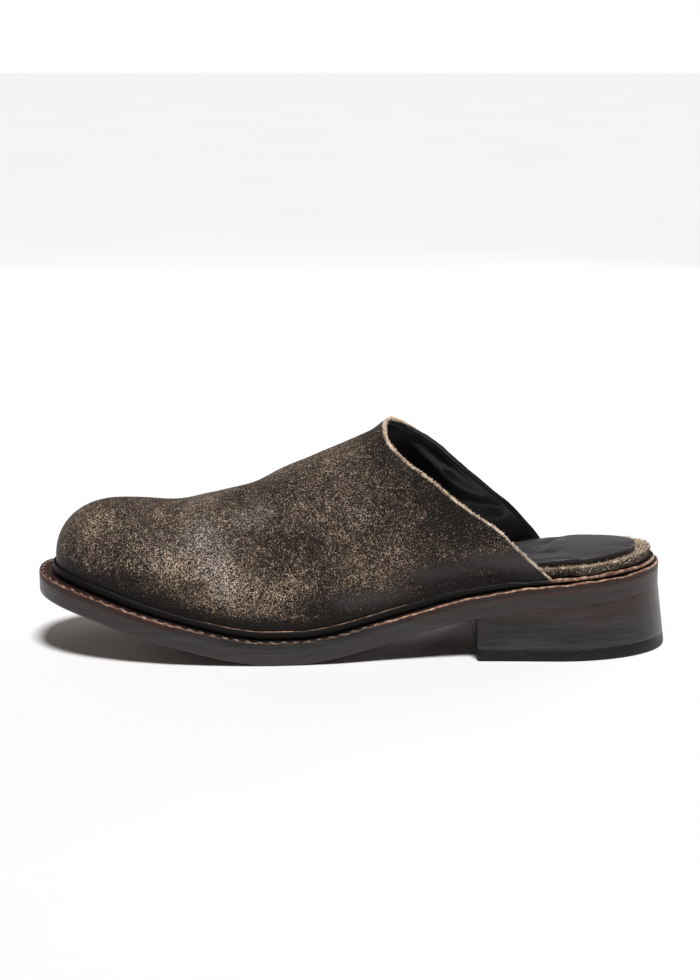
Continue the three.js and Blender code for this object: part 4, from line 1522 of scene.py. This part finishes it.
def heel_part(name, levels, top_follows_sole, material, node):
    """A heel layer: horizontal lines round the heel, cut straight at the breast."""
    tall = 1.5 * HEEL_HEIGHT
    share = 1 - np.cos(np.pi / 2 * np.arange(65) / 64)
    lines = []
    for level, pull, _, _ in levels:
        def spread_out(s):
            return 1.15 * HEEL_FLARE * (1 - np.clip(level / underside(s), 0, 1)) - pull

        flare = float(spread_out(0.0))
        breast = HEEL_LENGTH - BREAST_LEAN + 1.5 * BREAST_LEAN * (level + 1) / (tall + 2) - pull
        corner = 0.7
        s = -flare + (breast + flare) * share
        s[-2], s[-1] = breast - corner, breast
        outer, inner = edges(s, lambda at: -spread_out(at))
        outer[-1] += corner
        inner[-1] -= corner
        top = np.minimum(level, underside(s) + 0.02) if top_follows_sole else np.full_like(s, level)
        lines.append(np.concatenate([point(s, outer, top), point(s[1:], inner[1:], top[1:])[::-1]]))
    places, faces = capped_loft(lines)
    count = len(lines[0])
    values = {
        "under": np.repeat([float(row[2]) for row in levels], count),
        "edge": np.repeat([float(row[3]) for row in levels], count),
    }
    mesh_piece(name, places, faces, material, 55, values, [node])


def build_heel(sizes, colours):
    # Each level: height, how far it is pulled in, bare underside, brown wear
    base, top = TOP_LIFT + 0.05, HEEL_HEIGHT + 0.1
    levels = [(base, 0.3, 0, 0), (base + 0.15, 0.12, 0, 0), (base + 0.4, 0.0, 0, 0)]
    for k in range(1, 15):
        levels.append((base + 0.5 + (top - base - 0.5) * k / 14, 0.0, 0, 0.9 * smooth(k, 4, 14)))
    paint = painted_edge("heel_edge_paint", colours, red=1.3)
    heel_part("heel_block", levels, True, paint, "heel_stack")
    levels = [
        (0.0, 6.0, 1, 0), (0.0, 1.4, 1, 0), (0.12, 0.5, 1, 0), (0.5, 0.12, 0, 0),
        (1.1, 0.0, 0, 0), (2.8, 0.0, 0, 0), (TOP_LIFT - 0.4, 0.0, 0, 0),
        (TOP_LIFT - 0.12, 0.12, 0, 0), (TOP_LIFT + 0.02, 0.35, 0, 0),
    ]
    heel_part("top_lift_rubber", levels, False, lift_rubber(colours), "top_lift")


# Stage
CAMERA_LENS = 76.86
CAMERA_DISTANCE = 1.0
CAMERA_ELEVATION = 11.8
CAMERA_AIM = Vector((0.00046 + SHIFT_X * MM, SHIFT_Y * MM, 0.07352))
LIGHT_TARGET = Vector((0, 0, 0.05))


def link(name, data):
    made = bpy.data.objects.new(name, data)
    bpy.context.scene.collection.objects.link(made)
    return made


def facing(way):
    """The turn that points a light or a camera along a direction."""
    return way.to_track_quat("-Z", "Y").to_euler()


def area_light(name, place, wide, high, power, colour=(1.0, 0.95, 0.93)):
    """A softbox that the camera doesn't see."""
    light = bpy.data.lights.new(name, "AREA")
    light.shape = "RECTANGLE"
    light.size, light.size_y = wide, high
    light.energy = power
    light.color = colour
    lamp = link(name, light)
    lamp.location = place
    lamp.rotation_euler = facing(LIGHT_TARGET - Vector(place))
    lamp.visible_camera = False


def studio_floor(colours):
    """A pale floor whose squares grow with their distance from the shoe."""
    bm = bmesh.new()
    spots = [math.copysign(30 * abs(k / 12) ** 2.2, k) for k in range(-12, 13)]
    lines = [[bm.verts.new((x, y, -0.05 * MM)) for x in spots] for y in spots]
    for low, high in zip(lines, lines[1:]):
        for k in range(len(spots) - 1):
            bm.faces.new((low[k], low[k + 1], high[k + 1], high[k]))
    mesh = bpy.data.meshes.new("studio_floor")
    bm.to_mesh(mesh)
    bm.free()
    mesh.polygons.foreach_set("use_smooth", [True] * len(mesh.polygons))
    finish = Finish("studio_paper")
    mottle = finish.where.noise(3.0, 3.0).spread(0.3, 0.7)
    pale = mottle.mix(colours.floor, (0.915, 0.915, 0.918, 1))
    finish.shine(pale, 0.9, Specular_IOR_Level=0.1)
    mesh.materials.append(finish.material)
    floor = link("studio_floor", mesh)


def studio_air():
    """White where the camera looks past the shoe, and a faint warm fill for everything else."""
    world = bpy.data.worlds.new("studio_air")
    world.use_nodes = True
    air = world.node_tree
    seen = wired(air, "ShaderNodeBackground", 0, {"Color": (1, 1, 1, 1), "Strength": 1.0})
    fill = wired(air, "ShaderNodeBackground", 0, {"Color": (1, 0.82, 0.78, 1), "Strength": 0.05})
    camera_ray = wired(air, "ShaderNodeLightPath", "Is Camera Ray")
    either = wired(air, "ShaderNodeMixShader", 0, {0: camera_ray, 1: fill, 2: seen})
    feed(air, air.nodes["World Output"].inputs["Surface"], either)
    bpy.context.scene.world = world


def studio_lights():
    sun = bpy.data.lights.new("overhead_light", "SUN")
    sun.energy = 3.3
    sun.angle = math.radians(16)
    link("overhead_light", sun).rotation_euler = facing(Vector((-0.1, 0.32, -1.0)))
    area_light("left_softbox", (-1.1, 1.1, 0.35), 1.2, 0.6, 3.9, (1.0, 0.84, 0.79))
    area_light("rear_softbox", (1.1, 1.1, 0.35), 1.2, 0.6, 11)
    area_light("back_card", (0.0, 1.7, 0.4), 3.2, 0.8, 3)


def photo_camera():
    camera = bpy.data.cameras.new("photo_camera")
    camera.sensor_width = 36
    camera.lens = CAMERA_LENS
    camera.clip_start, camera.clip_end = 0.05, 30
    eye = link("photo_camera", camera)
    rise = math.radians(CAMERA_ELEVATION)
    eye.location = CAMERA_AIM + CAMERA_DISTANCE * Vector((0, -math.cos(rise), math.sin(rise)))
    eye.rotation_euler = facing(CAMERA_AIM - eye.location)
    bpy.context.scene.camera = eye


def build_stage(sizes, colours):
    studio_floor(colours)
    studio_air()
    studio_lights()
    photo_camera()
    bpy.context.scene.view_settings.view_transform = "Standard"
    bpy.context.scene.view_settings.look = "None"


# The add-on's buttons
def run(build, context):
    """What each button does: it makes the shared effects once and builds its pieces."""
    if "soft_patch" not in bpy.data.node_groups:
        build_effects()
    build(context.scene.mule_sizes, context.scene.mule_colours)
    return {"FINISHED"}


class MULE_OT_vamp(bpy.types.Operator):
    """Builds the vamp with its creases and raw topline."""

    bl_idname = "mule.vamp"
    bl_label = "Vamp"

    def execute(self, context):
        return run(build_vamp, context)


class MULE_OT_lining(bpy.types.Operator):
    """Builds the black lining inside the vamp."""

    bl_idname = "mule.lining"
    bl_label = "Lining"

    def execute(self, context):
        return run(build_lining, context)


class MULE_OT_insole(bpy.types.Operator):
    """Builds the insole with its hairy raw edge."""

    bl_idname = "mule.insole"
    bl_label = "Insole"

    def execute(self, context):
        return run(build_insole, context)


class MULE_OT_sock(bpy.types.Operator):
    """Builds the padded black sock."""

    bl_idname = "mule.sock"
    bl_label = "Sock"

    def execute(self, context):
        return run(build_sock, context)


class MULE_OT_welt(bpy.types.Operator):
    """Builds the split welt and its stitches."""

    bl_idname = "mule.welt"
    bl_label = "Welt"

    def execute(self, context):
        return run(build_welt, context)


class MULE_OT_sole(bpy.types.Operator):
    """Builds the midsole and the outsole."""

    bl_idname = "mule.sole"
    bl_label = "Sole"

    def execute(self, context):
        return run(build_sole, context)


class MULE_OT_heel(bpy.types.Operator):
    """Builds the stacked heel and its top lift."""

    bl_idname = "mule.heel"
    bl_label = "Heel"

    def execute(self, context):
        return run(build_heel, context)


class MULE_OT_stage(bpy.types.Operator):
    """Builds the floor, the lights and the camera."""

    bl_idname = "mule.stage"
    bl_label = "Stage"

    def execute(self, context):
        return run(build_stage, context)


BUTTONS = [
    MULE_OT_vamp, MULE_OT_lining, MULE_OT_insole, MULE_OT_sock,
    MULE_OT_welt, MULE_OT_sole, MULE_OT_heel, MULE_OT_stage,
]


class MULE_PT_panel(bpy.types.Panel):
    """Lists the pieces of the mule, with their sizes and colours."""

    bl_label = "Leather mule"
    bl_idname = "MULE_PT_panel"
    bl_space_type = "VIEW_3D"
    bl_region_type = "UI"
    bl_category = "Mule"

    def draw(self, context):
        for button in BUTTONS:
            self.layout.operator(button.bl_idname)
        for group in (context.scene.mule_sizes, context.scene.mule_colours):
            box = self.layout.box()
            for name in group.__annotations__:
                box.prop(group, name)


CLASSES = [MuleSizes, MuleColours, *BUTTONS, MULE_PT_panel]


def register():
    for one in CLASSES:
        bpy.utils.register_class(one)
    bpy.types.Scene.mule_sizes = bpy.props.PointerProperty(type=MuleSizes)
    bpy.types.Scene.mule_colours = bpy.props.PointerProperty(type=MuleColours)


def unregister():
    del bpy.types.Scene.mule_colours
    del bpy.types.Scene.mule_sizes
    for one in reversed(CLASSES):
        bpy.utils.unregister_class(one)


def main():
    register()
    for name in ("vamp", "lining", "insole", "sock", "welt", "sole", "heel", "stage"):
        getattr(bpy.ops.mule, name)()


if __name__ == "__main__":
    main()
